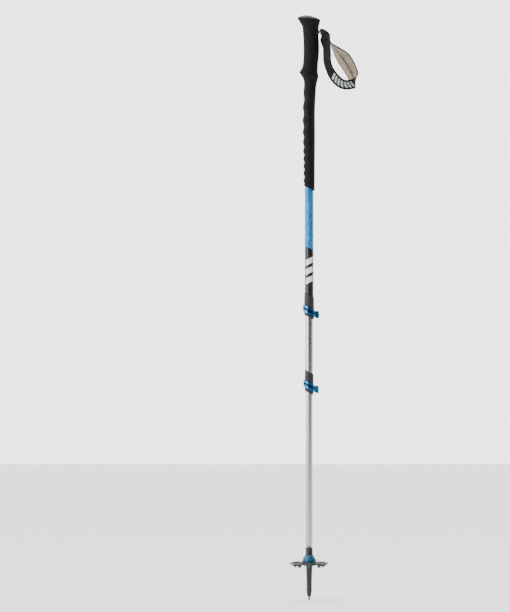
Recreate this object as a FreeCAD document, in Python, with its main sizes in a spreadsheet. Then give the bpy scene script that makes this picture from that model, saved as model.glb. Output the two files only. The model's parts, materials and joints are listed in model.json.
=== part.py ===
import FreeCAD, Part
import Sketcher
import os
import re

# Telescopic ski touring pole in three sections, standing upright, in millimetres.
# The origin is the point of the tip on the pole's axis. +Z runs up the pole, +X points
# to the side that the wrist strap leaves the grip on, and -Y is the levers' front side.

SIZES = {
    # Heights on the axis, from the tip
    "upper_lock_height": 593.5,
    "lower_lock_height": 439.8,
    "tube_top": 1150,
    # Tubes
    "slide_gap": 0.1,
    "fit_gap": 0.05,
    "upper_radius": 9,
    "upper_wall": 0.9,
    "middle_radius": "=upper_radius - upper_wall - slide_gap",
    "middle_wall": 0.9,
    "lower_radius": "=middle_radius - middle_wall - slide_gap",
    "lower_wall": 0.8,
    "middle_head_room": 150.2,
    "lower_overlap": 215.2,
    "neck_radius": 5,
    "neck_wall": 1,
    "neck_taper": 4,
    "neck_clearance": 0.6,
    "edge_width": 1,
    # Guides on the upper ends of the two inner tubes
    "guide_head": 7,
    "guide_spigot": 13,
    "guide_wall": 1.6,
    "guide_gap": 0.3,
    # Tip and ferrule
    "carbide_radius": 1.6,
    "carbide_length": 4,
    "carbide_cup": 0.7,
    "holder_start": 0.8,
    "holder_nose_radius": 2.3,
    "holder_base_radius": 3.4,
    "holder_shank_radius": 2,
    "holder_shank_top": 28,
    "ferrule_start": 8.2,
    "ferrule_nose_radius": 3.8,
    "ferrule_seat_start": 20,
    "ferrule_seat_radius": 5.5,
    "ferrule_seat_length": 16,
    "ferrule_shoulder_height": 70,
    "ferrule_shoulder_radius": 6.55,
    "ferrule_thread_radius": 6.9,
    "ferrule_flange_height": 93,
    "ferrule_flange_radius": 7.75,
    "ferrule_flange_thickness": 3,
    "ferrule_collar_radius": 7.3,
    "ferrule_top": 108.6,
    "ferrule_bore_start": 45,
    # Basket
    "hub_top_radius": 9.75,
    "hub_flare_height": 83.5,
    "hub_flare_radius": 14,
    "hub_rim_height": 80.6,
    "hub_rim_radius": 14.6,
    "hub_waist_radius": 12,
    "hub_foot": 71.2,
    "hub_lip_radius": 12.6,
    "hub_lip_height": 1.6,
    "hub_flutes": 8,
    "hub_flute_radius": 2.2,
    "hub_flute_depth": 1.2,
    "hub_flute_foot": 1.5,
    "hub_play": 0.2,
    "hub_brow": 1.6,
    "disc_collar_radius": 17.5,
    "disc_collar_top": 80.2,
    "disc_collar_foot": 73.2,
    "disc_rim_radius": 40,
    "disc_rim_width": 4.5,
    "disc_rim_top": 77.6,
    "disc_rim_foot": 74.4,
    "disc_ribs": 8,
    "disc_rib_thickness": 3.4,
    "disc_tooth_radius": 27.5,
    "disc_tooth_foot": 68,
    "disc_web_foot": 75.2,
    "disc_chamfer": 2,
    "disc_brow": 1.2,
    "disc_tooth_run": 5,
    "disc_overlap": 2,
    # Levers and clamps, both locks
    "lock_tilt": 27,
    "lock_turn": 40,
    "slit_width": 1,
    "ear_thickness": 2.8,
    "ear_height": 10.4,
    "ear_reach": 5.8,
    "screw_radius": 1.5,
    "screw_gap": 0.1,
    "screw_offset": 2.7,
    "screw_head_radius": 2.3,
    "screw_head_height": 1.8,
    "screw_socket": 2,
    "screw_seat": 1.9,
    "screw_chamfer": 0.3,
    "screw_tail": 0.6,
    "socket_floor": 0.6,
    "nut_across": 5.5,
    "nut_thickness": 2.4,
    "washer_thickness": 0.6,
    "washer_half_width": 3.6,
    "washer_height": 9.6,
    "barrel_radius": 2.4,
    "barrel_length": 14,
    "flat_margin": 0.4,
    "touch_gap": 0.01,
    "pivot_gap": 0.05,
    "cam_gap": 0.06,
    "cam_radius": 4,
    "cam_throw": 0.4,
    "lever_width": 12.6,
    "boss_height": 15,
    "lever_thickness": 2.6,
    "lever_gap": 0.6,
    "lever_wrap": 171,
    "arm_start": 4,
    "hood_end": 36,
    "lever_slot": 5.6,
    "lever_hood": 1.5,
    "lever_key_radius": 1.3,
    "hood_clearance": 0.2,
    "hood_start": 42,
    "hood_root": 0.9,
    "hood_crease": 7,
    "hood_inner_far": 22,
    "hood_inner_near": 12,
    "recess_width": 4.6,
    "recess_depth": 1.1,
    "recess_start": 34,
    "recess_end": 12,
    "shoulder_rise": 6,
    "slit_rise": 10,
    "cut_reach": 60,
    # Clamp bodies
    "upper_clamp_wall": 1.3,
    "upper_clamp_radius": "=upper_radius + upper_clamp_wall",
    "clamp_lip": 0.7,
    "upper_clamp_top_radius": "=upper_radius + clamp_lip",
    "upper_clamp_rise": 32.4,
    "upper_clamp_drop": 13.3,
    "lower_clamp_wall": 1.2,
    "lower_clamp_radius": "=middle_radius + lower_clamp_wall",
    "lower_clamp_top_radius": "=middle_radius + clamp_lip",
    "lower_clamp_rise": 28.6,
    "lower_clamp_drop": 14.4,
    "clamp_taper": 14,
    "clamp_foot_taper": 3,
    "clamp_foot_inset": 1.2,
    "ear_root": 3,
    "spare_reach": 1,
    # Grip core, strap slot and what the slot holds
    "webbing_width": 20,
    "webbing_thickness": 1.6,
    "webbing_split": 0.4,
    "core_depth": 84,
    "core_start": "=tube_top - core_depth",
    "core_wall": 1.4,
    "core_radius": "=upper_radius + core_wall",
    "core_head_rise": 3,
    "core_head_start": "=tube_top + core_head_rise",
    "core_head_wall": 2,
    "core_step": 1.6,
    "core_head_radius": "=max(webbing_width / 2 + core_head_wall; core_radius + core_step)",
    "core_top_rise": 38.6,
    "core_top": "=tube_top + core_top_rise",
    "strap_rise": 14.5,
    "strap_height": "=tube_top + strap_rise",
    "slot_play": 0.8,
    "slot_width": "=webbing_width + slot_play",
    "slot_half_height": 4.2,
    "slot_start": 0.1,
    "pin_place": 3.5,
    "pin_radius": 1.5,
    "pin_play": 0.4,
    "pin_length": "=2 * sqrt(core_head_radius ^ 2 - (pin_place + pin_radius) ^ 2) - pin_play",
    "wedge_length": 11,
    "wedge_inset": 4,
    "wedge_nose": 0.5,
    "wedge_ramp": 3,
    # Foam head, from the rim down: how far below the rim, how far past the core's head in
    # front and behind, and how much flatter the sides are than a circle
    "rim_rise": 39.2,
    "rim_height": "=tube_top + rim_rise",
    "rim_front": 9.6,
    "rim_rear": 10.9,
    "rim_flatten": 5,
    "throat_drop": 10.2,
    "throat_front": 3.3,
    "throat_rear": 8.5,
    "throat_flatten": 2.8,
    "neck_drop": 21.2,
    "neck_front": 1.1,
    "neck_rear": 7.6,
    "neck_flatten": 1.9,
    "palm_drop": 53.2,
    "palm_front": -0.4,
    "palm_rear": 8.4,
    "palm_flatten": 1.7,
    "heel_drop": 83.2,
    "heel_front": 0.4,
    "heel_rear": 7,
    "heel_flatten": 1.5,
    "shelf_drop": 97.2,
    "shelf_front": 2.9,
    "shelf_rear": 6,
    "shelf_flatten": 1.5,
    "ledge_drop": 106.7,
    "ledge_height": "=rim_height - ledge_drop",
    "ledge_front": 8.3,
    "ledge_rear": 6,
    "ledge_flatten": 3.6,
    "ledge_tilt": 13,
    "seam_gap": 0.1,
    "neck_reach": "=core_head_radius + neck_rear",
    # Cap over the rim: rise above it, and the same as for the head
    "cap_brow_rise": 4.3,
    "cap_brow_front": 12.4,
    "cap_brow_rear": 8.7,
    "cap_brow_flatten": 5.6,
    "cap_slope_rise": 8.3,
    "cap_slope_front": 5.5,
    "cap_slope_rear": -1.5,
    "cap_slope_flatten": 3.5,
    "cap_crown_rise": 10.7,
    "cap_crown_front": -3.5,
    "cap_crown_rear": -10.5,
    "cap_crown_flatten": 1.5,
    "plug_radius": 6,
    "plug_length": 9,
    "plug_room": 0.5,
    "tube_room": 0.2,
    # Scalloped foam sleeve: drops below the ledge, fronts and rears past the upper tube
    "collar_drop": 8,
    "collar_lead": 3,
    "collar_front": 6.2,
    "collar_rear": 9.9,
    "brim_drop": 15.5,
    "brim_front": 2.4,
    "brim_rear": 8.2,
    "sleeve_flatten": 0.4,
    "waist_drop": 130.2,
    "waist_height": "=rim_height - waist_drop",
    "waist_front": 0.9,
    "waist_rear": 6.3,
    "scallop_drop": 146.7,
    "scallop_start": "=rim_height - scallop_drop",
    "scallop_pitch": 31.6,
    "scallop_ratio": 0.87,
    "scallop_least": 14.7,
    "scallop_count": 10,
    "scallop_depth": 1.6,
    "foot_room": 9,
    "collar_flatten": 2,
    "brim_flatten": 1,
    "crest_front": 2.8,
    "sleeve_rear_top": 4.9,
    "sleeve_rear_foot": 2.9,
    "sleeve_foot_drop": 344.7,
    "sleeve_foot": "=rim_height - sleeve_foot_drop",
    # Wrist strap loop
    "root_proud": 0.1,
    "loop_pivot_offset": 3.1,
    "loop_pad_width": 35,
    "lining_thickness": 2.4,
    "lining_inset": 1.4,
    "lining_gap": 0.05,
}

doc = FreeCAD.newDocument("ski_pole")
sheet = doc.addObject("Spreadsheet::Sheet", "sizes")
for row, (alias, size) in enumerate(SIZES.items(), start=1):
    sheet.set(f"A{row}", alias.replace("_", " "))
    sheet.set(f"B{row}", str(size))
    sheet.setAlias(f"B{row}", alias)
doc.recompute()

parts = []


def value(formula):
    """The formula's value now, from the sheet's names."""
    return float(sheet.evalExpression(str(formula)))


def bound(formula):
    """The formula as another object writes it, with each size name read from the sheet."""
    return re.sub(r"[a-z]+(?:_[a-z]+)+", lambda name: "sizes." + name.group(), str(formula))


def turn(axis, angle):
    """A rotation about x, y or z, written as an expression."""
    vector = {"x": "1; 0; 0", "y": "0; 1; 0", "z": "0; 0; 1", "-z": "0; 0; -1"}[axis]
    return f"rotation(vector({vector}); {angle})"


def place(x=0, y=0, z=0, rotation=None):
    """A placement written as an expression."""
    return f"placement(vector({x}; {y}; {z}); {rotation or turn('z', 0)})"


def new_body(label, placement=None, kept=True):
    """A body that is a sub-part by itself, or, when not kept, only helps to make one."""
    body = doc.addObject("PartDesign::Body", label)
    body.Label = label
    if placement:
        body.setExpression("Placement", bound(placement))
    if kept:
        parts.append(body)
    return body


def new_sketch(body, plane, offset=None):
    """A sketch on one of the body's own origin planes, moved by the offset."""
    name = f"{body.Name}_sketch"
    sketch = body.newObject("Sketcher::SketchObject", name)
    origin = next(f for f in body.Origin.OriginFeatures if f.Role == plane)
    sketch.AttachmentSupport = [(origin, "")]
    sketch.MapMode = "FlatFace"
    if offset:
        sketch.setExpression("AttachmentOffset", bound(offset))
    return sketch


def drive(sketch, kind, *ends, formula):
    """A constraint of that kind whose size follows the formula."""
    sketch.addConstraint(Sketcher.Constraint(kind, *ends, value(formula)))
    sketch.setExpression(f"Constraints[{sketch.ConstraintCount - 1}]", bound(formula))


def outline(sketch, corners):
    """A closed run of straight lines through the corners."""
    points = [FreeCAD.Vector(value(x), value(y), 0) for x, y in corners]
    first = sketch.GeometryCount
    count = len(points)
    for i, point in enumerate(points):
        sketch.addGeometry(Part.LineSegment(point, points[(i + 1) % count]))
    for i in range(count):
        following = first + (i + 1) % count
        sketch.addConstraint(Sketcher.Constraint("Coincident", first + i, 2, following, 1))
    for i, (x, y) in enumerate(corners):
        drive(sketch, "DistanceX", -1, 1, first + i, 1, formula=x)
        drive(sketch, "DistanceY", -1, 1, first + i, 1, formula=y)


def circle(sketch, radius, x="0", y="0"):
    centre = FreeCAD.Vector(value(x), value(y), 0)
    round_edge = sketch.addGeometry(Part.Circle(centre, FreeCAD.Vector(0, 0, 1), value(radius)))
    drive(sketch, "DistanceX", -1, 1, round_edge, 3, formula=x)
    drive(sketch, "DistanceY", -1, 1, round_edge, 3, formula=y)
    drive(sketch, "Radius", round_edge, formula=radius)


def oval(sketch, front, rear, flatten):
    """An ellipse from x = -front to x = rear, its sides flatter than a circle's by flatten."""
    front, rear = f"({front})", f"({rear})"
    middle = f"({rear} - {front}) / 2"
    reach = f"({rear} + {front}) / 2"
    side = f"({rear} + {front}) / 2 - ({flatten})"
    centre = FreeCAD.Vector(value(middle), 0, 0)
    tip = centre + FreeCAD.Vector(value(reach), 0, 0)
    flank = centre + FreeCAD.Vector(0, value(side), 0)
    edge = sketch.addGeometry(Part.Ellipse(tip, flank, centre))
    sketch.exposeInternalGeometry(edge)
    sketch.addConstraint(Sketcher.Constraint("PointOnObject", edge, 3, -1))
    drive(sketch, "DistanceX", -1, 1, edge, 3, formula=middle)
    sketch.addConstraint(Sketcher.Constraint("Horizontal", edge + 1))
    drive(sketch, "Distance", edge + 1, 1, edge + 1, 2, formula=f"2 * ({reach})")
    drive(sketch, "Distance", edge + 2, 1, edge + 2, 2, formula=f"2 * ({side})")


def box_corners(x_low, x_high, y_low, y_high):
    return [(x_low, y_low), (x_high, y_low), (x_high, y_high), (x_low, y_high)]


def hexagon(across):
    """The six corners of a hexagon of that width between its flats, two of them across X."""
    return [(f"{across} / sqrt(3) * cos({angle})", f"{across} / sqrt(3) * sin({angle})")
            for angle in range(30, 360, 60)]


def add_feature(kind, body, sketch, name):
    feature = body.newObject(f"PartDesign::{kind}", f"{body.Name}_{name}")
    feature.Profile = sketch
    return feature


def turned(body, corners, name, kind="Revolution", offset=None, angle="360"):
    """A profile of (radius, height) corners turned about the body's Z axis."""
    sketch = new_sketch(body, "XZ_Plane", offset)
    outline(sketch, corners)
    feature = add_feature(kind, body, sketch, name)
    feature.ReferenceAxis = (sketch, ["V_Axis"])
    feature.setExpression("Angle", bound(angle))
    return feature


def padded(body, sketch, name, length):
    """The sketch given a thickness, half to each side of its plane."""
    feature = add_feature("Pad", body, sketch, name)
    feature.Midplane = True
    feature.setExpression("Length", bound(length))
    return feature


def pocketed(body, sketch, name, length):
    """The sketch cut out of the body, half to each side of its plane."""
    feature = add_feature("Pocket", body, sketch, name)
    feature.Midplane = True
    feature.setExpression("Length", bound(length))
    return feature


def repeated(body, feature, name, count):
    """The feature again, evenly round the body's Z axis."""
    pattern = body.newObject("PartDesign::PolarPattern", f"{body.Name}_{name}")
    pattern.Originals = [feature]
    z_axis = next(f for f in body.Origin.OriginFeatures if f.Role == "Z_Axis")
    pattern.Axis = (z_axis, [""])
    pattern.Angle = 360
    pattern.setExpression("Occurrences", bound(count))
    body.Tip = pattern
    return pattern


def lofted(body, sections, name):
    """A skin of straight flanks between ovals, each (height, front, rear, flatten)."""
    sketches = []
    for height, front, rear, flatten in sections:
        sketch = new_sketch(body, "XY_Plane", place(z=height))
        oval(sketch, front, rear, flatten)
        sketches.append(sketch)
    feature = add_feature("AdditiveLoft", body, sketches[0], name)
    feature.Sections = sketches[1:]
    feature.Ruled = True
    return feature


# ---------------------------------------------------------------- tubes and guides

def make_tube(label, foot, top, radius, wall):
    body = new_body(label)
    corners = box_corners(f"{radius} - {wall}", radius, foot, top)
    turned(body, corners, "wall")


def make_lower_tube():
    """The lower tube, drawn down to a neck where it enters the ferrule."""
    body = new_body("lower_tube")
    neck_top = "ferrule_top + neck_clearance"
    cone_top = f"{neck_top} + neck_taper"
    corners = [
        ("neck_radius - neck_wall", "ferrule_bore_start + fit_gap"),
        ("neck_radius", "ferrule_bore_start + fit_gap"),
        ("neck_radius", neck_top),
        ("lower_radius", cone_top),
        ("lower_radius", LOWER_TOP),
        ("lower_radius - lower_wall", LOWER_TOP),
        ("lower_radius - lower_wall", f"{cone_top} + neck_taper"),
        ("neck_radius - neck_wall", neck_top),
    ]
    turned(body, corners, "wall")


def make_guide(label, tube_top, tube_radius, tube_wall, bore):
    """A plastic bushing that caps a tube: its head fills the outer tube, its spigot the inner."""
    body = new_body(label)
    spigot = f"{tube_radius} - {tube_wall} - fit_gap"
    corners = [
        (f"{spigot} - guide_wall", f"{tube_top} - guide_spigot"),
        (spigot, f"{tube_top} - guide_spigot"),
        (spigot, f"{tube_top} + guide_gap"),
        (f"{bore} - fit_gap", f"{tube_top} + guide_gap"),
        (f"{bore} - fit_gap", f"{tube_top} + guide_gap + guide_head"),
        (f"{spigot} - guide_wall", f"{tube_top} + guide_gap + guide_head"),
    ]
    turned(body, corners, "ring")


MIDDLE_FOOT = "(lower_lock_height + shoulder_rise)"
MIDDLE_TOP = "(tube_top - middle_head_room)"
LOWER_TOP = "(lower_lock_height + lower_overlap)"

make_tube("upper_tube", "upper_lock_height + shoulder_rise", "tube_top", "upper_radius", "upper_wall")
make_tube("middle_tube", MIDDLE_FOOT, MIDDLE_TOP, "middle_radius", "middle_wall")
make_lower_tube()
make_guide("middle_guide", MIDDLE_TOP, "middle_radius", "middle_wall", "(upper_radius - upper_wall)")
make_guide("lower_guide", LOWER_TOP, "lower_radius", "lower_wall", "(middle_radius - middle_wall)")


# ---------------------------------------------------------------- tip, ferrule and basket

def make_tip():
    """The hard-metal insert, hollow at its point, and the steel holder round it."""
    insert = new_body("carbide_tip")
    corners = [
        ("0", "carbide_cup"),
        ("carbide_radius", "0"),
        ("carbide_radius", "carbide_length"),
        ("0", "carbide_length"),
    ]
    turned(insert, corners, "insert")
    holder = new_body("tip_holder")
    corners = [
        ("carbide_radius + fit_gap", "holder_start"),
        ("holder_nose_radius", "holder_start"),
        ("holder_base_radius", "ferrule_start - fit_gap"),
        ("holder_shank_radius", "ferrule_start - fit_gap"),
        ("holder_shank_radius", "holder_shank_top"),
        ("0", "holder_shank_top"),
        ("0", "carbide_length + fit_gap"),
        ("carbide_radius + fit_gap", "carbide_length + fit_gap"),
    ]
    turned(holder, corners, "shank")


def make_ferrule():
    """The moulded tip body: nose, cover seat, thread land, flange and collar."""
    body = new_body("ferrule")
    seat_end = "ferrule_seat_start + ferrule_seat_length"
    flange_top = "ferrule_flange_height + ferrule_flange_thickness"
    corners = [
        ("holder_shank_radius + fit_gap", "ferrule_start"),
        ("ferrule_nose_radius", "ferrule_start"),
        ("ferrule_seat_radius", "ferrule_seat_start"),
        ("ferrule_seat_radius", seat_end),
        ("ferrule_shoulder_radius", "ferrule_shoulder_height"),
        ("ferrule_thread_radius", "ferrule_shoulder_height + edge_width"),
        ("ferrule_thread_radius", "ferrule_flange_height"),
        ("ferrule_flange_radius", "ferrule_flange_height"),
        ("ferrule_flange_radius", flange_top),
        ("ferrule_collar_radius", f"{flange_top} + edge_width"),
        ("ferrule_collar_radius", "ferrule_top"),
        ("neck_radius + fit_gap", "ferrule_top"),
        ("neck_radius + fit_gap", "ferrule_bore_start"),
        ("0", "ferrule_bore_start"),
        ("0", "holder_shank_top + fit_gap"),
        ("holder_shank_radius + fit_gap", "holder_shank_top + fit_gap"),
    ]
    turned(body, corners, "shell")


def make_basket_hub():
    """The screw-on hub: a fluted cone over a waist that carries the disc."""
    body = new_body("basket_hub")
    bore = "(ferrule_thread_radius + slide_gap)"
    top = "(ferrule_flange_height - hub_play)"
    corners = [
        (bore, "hub_foot"),
        ("hub_lip_radius", "hub_foot"),
        ("hub_lip_radius", "hub_foot + hub_lip_height"),
        ("hub_waist_radius", "hub_foot + hub_lip_height"),
        ("hub_waist_radius", "hub_rim_height"),
        ("hub_rim_radius", "hub_rim_height"),
        ("hub_flare_radius", "hub_flare_height"),
        ("hub_top_radius", "ferrule_flange_height - hub_brow"),
        ("hub_top_radius - edge_width", top),
        (bore, top),
    ]
    turned(body, corners, "cone")
    sketch = new_sketch(body, "XY_Plane", place(z="ferrule_flange_height"))
    circle(sketch, "hub_flute_radius", "hub_flare_radius + hub_flute_radius / 2 - hub_flute_depth")
    depth = "2 * (ferrule_flange_height - hub_rim_height - hub_flute_foot)"
    flute = pocketed(body, sketch, "flute", depth)
    repeated(body, flute, "flutes", "hub_flutes")


def make_basket_disc():
    """The snow basket: a collar that runs on the hub, ribs with hanging teeth, and a rim."""
    body = new_body("basket_disc")
    bore = "(hub_waist_radius + slide_gap)"
    collar = [
        (bore, "disc_collar_foot"),
        ("disc_collar_radius - disc_chamfer", "disc_collar_foot"),
        ("disc_collar_radius", "disc_collar_foot + disc_chamfer"),
        ("disc_collar_radius", "disc_collar_top - disc_brow"),
        (bore, "disc_collar_top"),
    ]
    turned(body, collar, "collar")
    rim_inside = "(disc_rim_radius - disc_rim_width)"
    rim = [
        (rim_inside, "disc_rim_foot"),
        ("disc_rim_radius - edge_width", "disc_rim_foot"),
        ("disc_rim_radius", "(disc_rim_foot + disc_rim_top) / 2"),
        ("disc_rim_radius - edge_width", "disc_rim_top"),
        (rim_inside, "disc_rim_top"),
    ]
    sketch = new_sketch(body, "XZ_Plane")
    rib = [
        (f"{bore} + edge_width", "disc_collar_foot + disc_chamfer"),
        ("disc_tooth_radius - disc_tooth_run", "disc_web_foot"),
        ("disc_tooth_radius - edge_width", "disc_tooth_foot"),
        ("disc_tooth_radius + edge_width", "disc_tooth_foot"),
        (f"{rim_inside} + disc_overlap", "disc_rim_foot"),
        (f"{rim_inside} + disc_overlap", "disc_rim_top"),
        (f"{bore} + edge_width", "disc_collar_top - edge_width"),
    ]
    outline(sketch, rib)
    spoke = padded(body, sketch, "rib", "disc_rib_thickness")
    repeated(body, spoke, "ribs", "disc_ribs")
    turned(body, rim, "rim")


make_tip()
make_ferrule()
make_basket_hub()
make_basket_disc()


# ---------------------------------------------------------------- locks
# Each lock has a frame of its own, at the height of its lever's boss: its Z is the lever's
# pivot direction and runs up the pole, its X points out through the clamp's ears and its Y
# runs along the screw, away from the lever. The band of the lever and both ends of the clamp
# fall by lock_tilt towards the rear.

LOCK_TURN = turn("z", "lock_turn")
PIVOT_DEPTH = "(slit_width / 2 + ear_thickness + washer_thickness + cam_gap + cam_radius + cam_throw)"


def screw_place(side):
    return f"({side}_clamp_radius + screw_offset)"


def pivot_reach(side):
    """How far the lever's pivot stands from the pole's axis towards the rear."""
    return f"({screw_place(side)} * cos(lock_turn) + {PIVOT_DEPTH} * sin(lock_turn))"


def boss_drop(side):
    """How far the slanted band falls from the pole's axis to the pivot."""
    return f"({pivot_reach(side)} * tan(lock_tilt))"


def lock_frame(side):
    return place(z=f"{side}_lock_height - {boss_drop(side)}", rotation=LOCK_TURN)


def along_screw(side, depth):
    """The frame of a piece on the screw: its Z runs along the screw towards the lever."""
    return f"{lock_frame(side)} * {place(screw_place(side), depth, 0, turn('x', 90))}"


def cut_past(body, name, edge, beyond, offset=None):
    """Everything from a line seen from the front to the same line moved up by beyond."""
    sketch = new_sketch(body, "XZ_Plane", offset)
    outline(sketch, edge + [(x, f"{z} + {beyond}") for x, z in reversed(edge)])
    pocketed(body, sketch, name, "2 * cut_reach")


def cut_slant(body, name, height, angle, beyond):
    """Everything on one side of a plane that falls by that angle towards the rear."""
    edge = [("-cut_reach", f"{height} + cut_reach * tan({angle})"),
            ("cut_reach", f"{height} - cut_reach * tan({angle})")]
    cut_past(body, name, edge, beyond)


def make_clamp(side, tube, inner):
    """The split collar: a slanted sleeve bonded to the upper of two tubes, with two ears."""
    body = new_body(f"{side}_clamp", place(z=f"{side}_lock_height"))
    radius, top_radius = f"{side}_clamp_radius", f"{side}_clamp_top_radius"
    rise, drop = f"{side}_clamp_rise", f"{side}_clamp_drop"
    slant = f"{radius} * tan(lock_tilt)"
    sleeve = [
        ("0", f"-{drop} - {slant} - spare_reach"),
        (f"{radius} - clamp_foot_inset", f"-{drop} - {slant} - spare_reach"),
        (radius, f"-{drop} + clamp_foot_taper"),
        (radius, f"{rise} - clamp_taper"),
        (top_radius, f"{rise} + {slant} + spare_reach"),
        ("0", f"{rise} + {slant} + spare_reach"),
    ]
    turned(body, sleeve, "sleeve")
    ears = new_sketch(body, "XY_Plane", place(z=f"-{boss_drop(side)}", rotation=LOCK_TURN))
    ear_side = "(slit_width / 2 + ear_thickness)"
    outside = f"({radius} + ear_reach)"
    outline(ears, [
        (f"{radius} - ear_root", f"-{ear_side}"),
        (f"{outside} - edge_width", f"-{ear_side}"),
        (outside, f"-{ear_side} + edge_width"),
        (outside, f"{ear_side} - edge_width"),
        (f"{outside} - edge_width", ear_side),
        (f"{radius} - ear_root", ear_side),
    ])
    padded(body, ears, "ears", "ear_height")
    cut_slant(body, "top_slant", rise, "lock_tilt", "cut_reach")
    cut_slant(body, "foot_slant", f"-{drop}", "lock_tilt", "-cut_reach")
    turned(body, box_corners("0", f"{tube} + fit_gap", "shoulder_rise - fit_gap",
                             f"{rise} + {slant} + 2 * spare_reach"), "tube_seat", "Groove")
    turned(body, box_corners("0", f"{inner} + slide_gap", f"-{drop} - {slant} - 2 * spare_reach",
                             "shoulder_rise"), "inner_bore", "Groove")
    across = place(rotation=turn("y", "lock_turn"))
    slit = new_sketch(body, "XZ_Plane", across)
    outline(slit, box_corners(f"{inner} - ear_root", f"{outside} + spare_reach", f"-{drop} - {outside}",
                              "slit_rise"))
    pocketed(body, slit, "slit", "slit_width")
    hole = new_sketch(body, "XZ_Plane", across)
    circle(hole, "screw_radius + screw_gap", screw_place(side), f"-{boss_drop(side)}")
    pocketed(body, hole, "screw_hole", f"4 * {ear_side}")


def make_screw(side):
    """Tension screw with a round head and a hexagon socket, its head on the barrel's flat."""
    body = new_body(f"{side}_screw", along_screw(side, f"-{PIVOT_DEPTH}"))
    shank_end = f"(-{PIVOT_DEPTH} - slit_width / 2 - ear_thickness - nut_thickness - screw_tail)"
    corners = [
        ("0", shank_end),
        ("screw_radius", shank_end),
        ("screw_radius", "screw_seat"),
        ("screw_head_radius", "screw_seat"),
        ("screw_head_radius", "screw_seat + screw_head_height - screw_chamfer"),
        ("screw_head_radius - screw_chamfer", "screw_seat + screw_head_height"),
        ("0", "screw_seat + screw_head_height"),
    ]
    turned(body, corners, "blank")
    sketch = new_sketch(body, "XY_Plane", place(z="screw_seat + screw_head_height"))
    outline(sketch, hexagon("screw_socket"))
    pocketed(body, sketch, "socket", "2 * (screw_head_height - socket_floor)")


def make_nut(side):
    body = new_body(f"{side}_nut",
                    along_screw(side, "slit_width / 2 + ear_thickness + nut_thickness / 2"))
    sketch = new_sketch(body, "XY_Plane")
    outline(sketch, hexagon("nut_across"))
    circle(sketch, "screw_radius + fit_gap")
    padded(body, sketch, "blank", "nut_thickness")


def make_washer(side):
    """The pressure plate between the front ear and the cam."""
    depth = "-(slit_width / 2 + ear_thickness + washer_thickness / 2)"
    body = new_body(f"{side}_washer", along_screw(side, depth))
    sketch = new_sketch(body, "XY_Plane")
    outline(sketch, box_corners("-washer_half_width + edge_width", "washer_half_width",
                                "-washer_height / 2", "washer_height / 2"))
    circle(sketch, "screw_radius + screw_gap")
    padded(body, sketch, "plate", "washer_thickness - 2 * touch_gap")


def make_barrel(side):
    """The pin that the lever turns on, with the screw's hole and a flat for its head."""
    pivot = place(screw_place(side), f"-{PIVOT_DEPTH}", 0)
    body = new_body(f"{side}_barrel", f"{lock_frame(side)} * {pivot}")
    sketch = new_sketch(body, "XY_Plane")
    circle(sketch, "barrel_radius")
    padded(body, sketch, "pin", "barrel_length")
    hole = new_sketch(body, "XZ_Plane")
    circle(hole, "screw_radius + fit_gap")
    pocketed(body, hole, "screw_hole", "3 * barrel_radius")
    flat = new_sketch(body, "XY_Plane")
    outline(flat, box_corners("-2 * barrel_radius", "2 * barrel_radius",
                              "-2 * barrel_radius", "-screw_seat + touch_gap"))
    pocketed(body, flat, "flat", "2 * (screw_head_radius + flat_margin)")


def cut_band(body, side, half, flat=None):
    """Leave only a slanted band, whose edges run level from where they reach the flat height."""
    upright = place(rotation=turn("y", "-lock_turn"))
    reach = pivot_reach(side)
    far_left = f"({reach} + cut_reach) * tan(lock_tilt)"
    far_right = f"({reach} - cut_reach) * tan(lock_tilt)"
    for name, sign in (("over", ""), ("under", "-")):
        edge = [("-cut_reach", f"{far_left} + {sign}{half}")]
        if flat:
            edge += [(f"{reach} - {sign}({flat} - {half}) / tan(lock_tilt)", f"{sign}{flat}"),
                     ("cut_reach", f"{sign}{flat}")]
        else:
            edge += [("cut_reach", f"{far_right} + {sign}{half}")]
        cut_past(body, name, edge, f"{sign}cut_reach", upright)


# Angles round the pivot, from straight out of the clamp: the hood's corners, towards the front,
# and the space that the screw's shank needs as the lever opens.
HOOD_ANGLES = (60, 74, 88, 100, 112)
SWEEP_ANGLES = (-50, 0, 60, 128)


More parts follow.
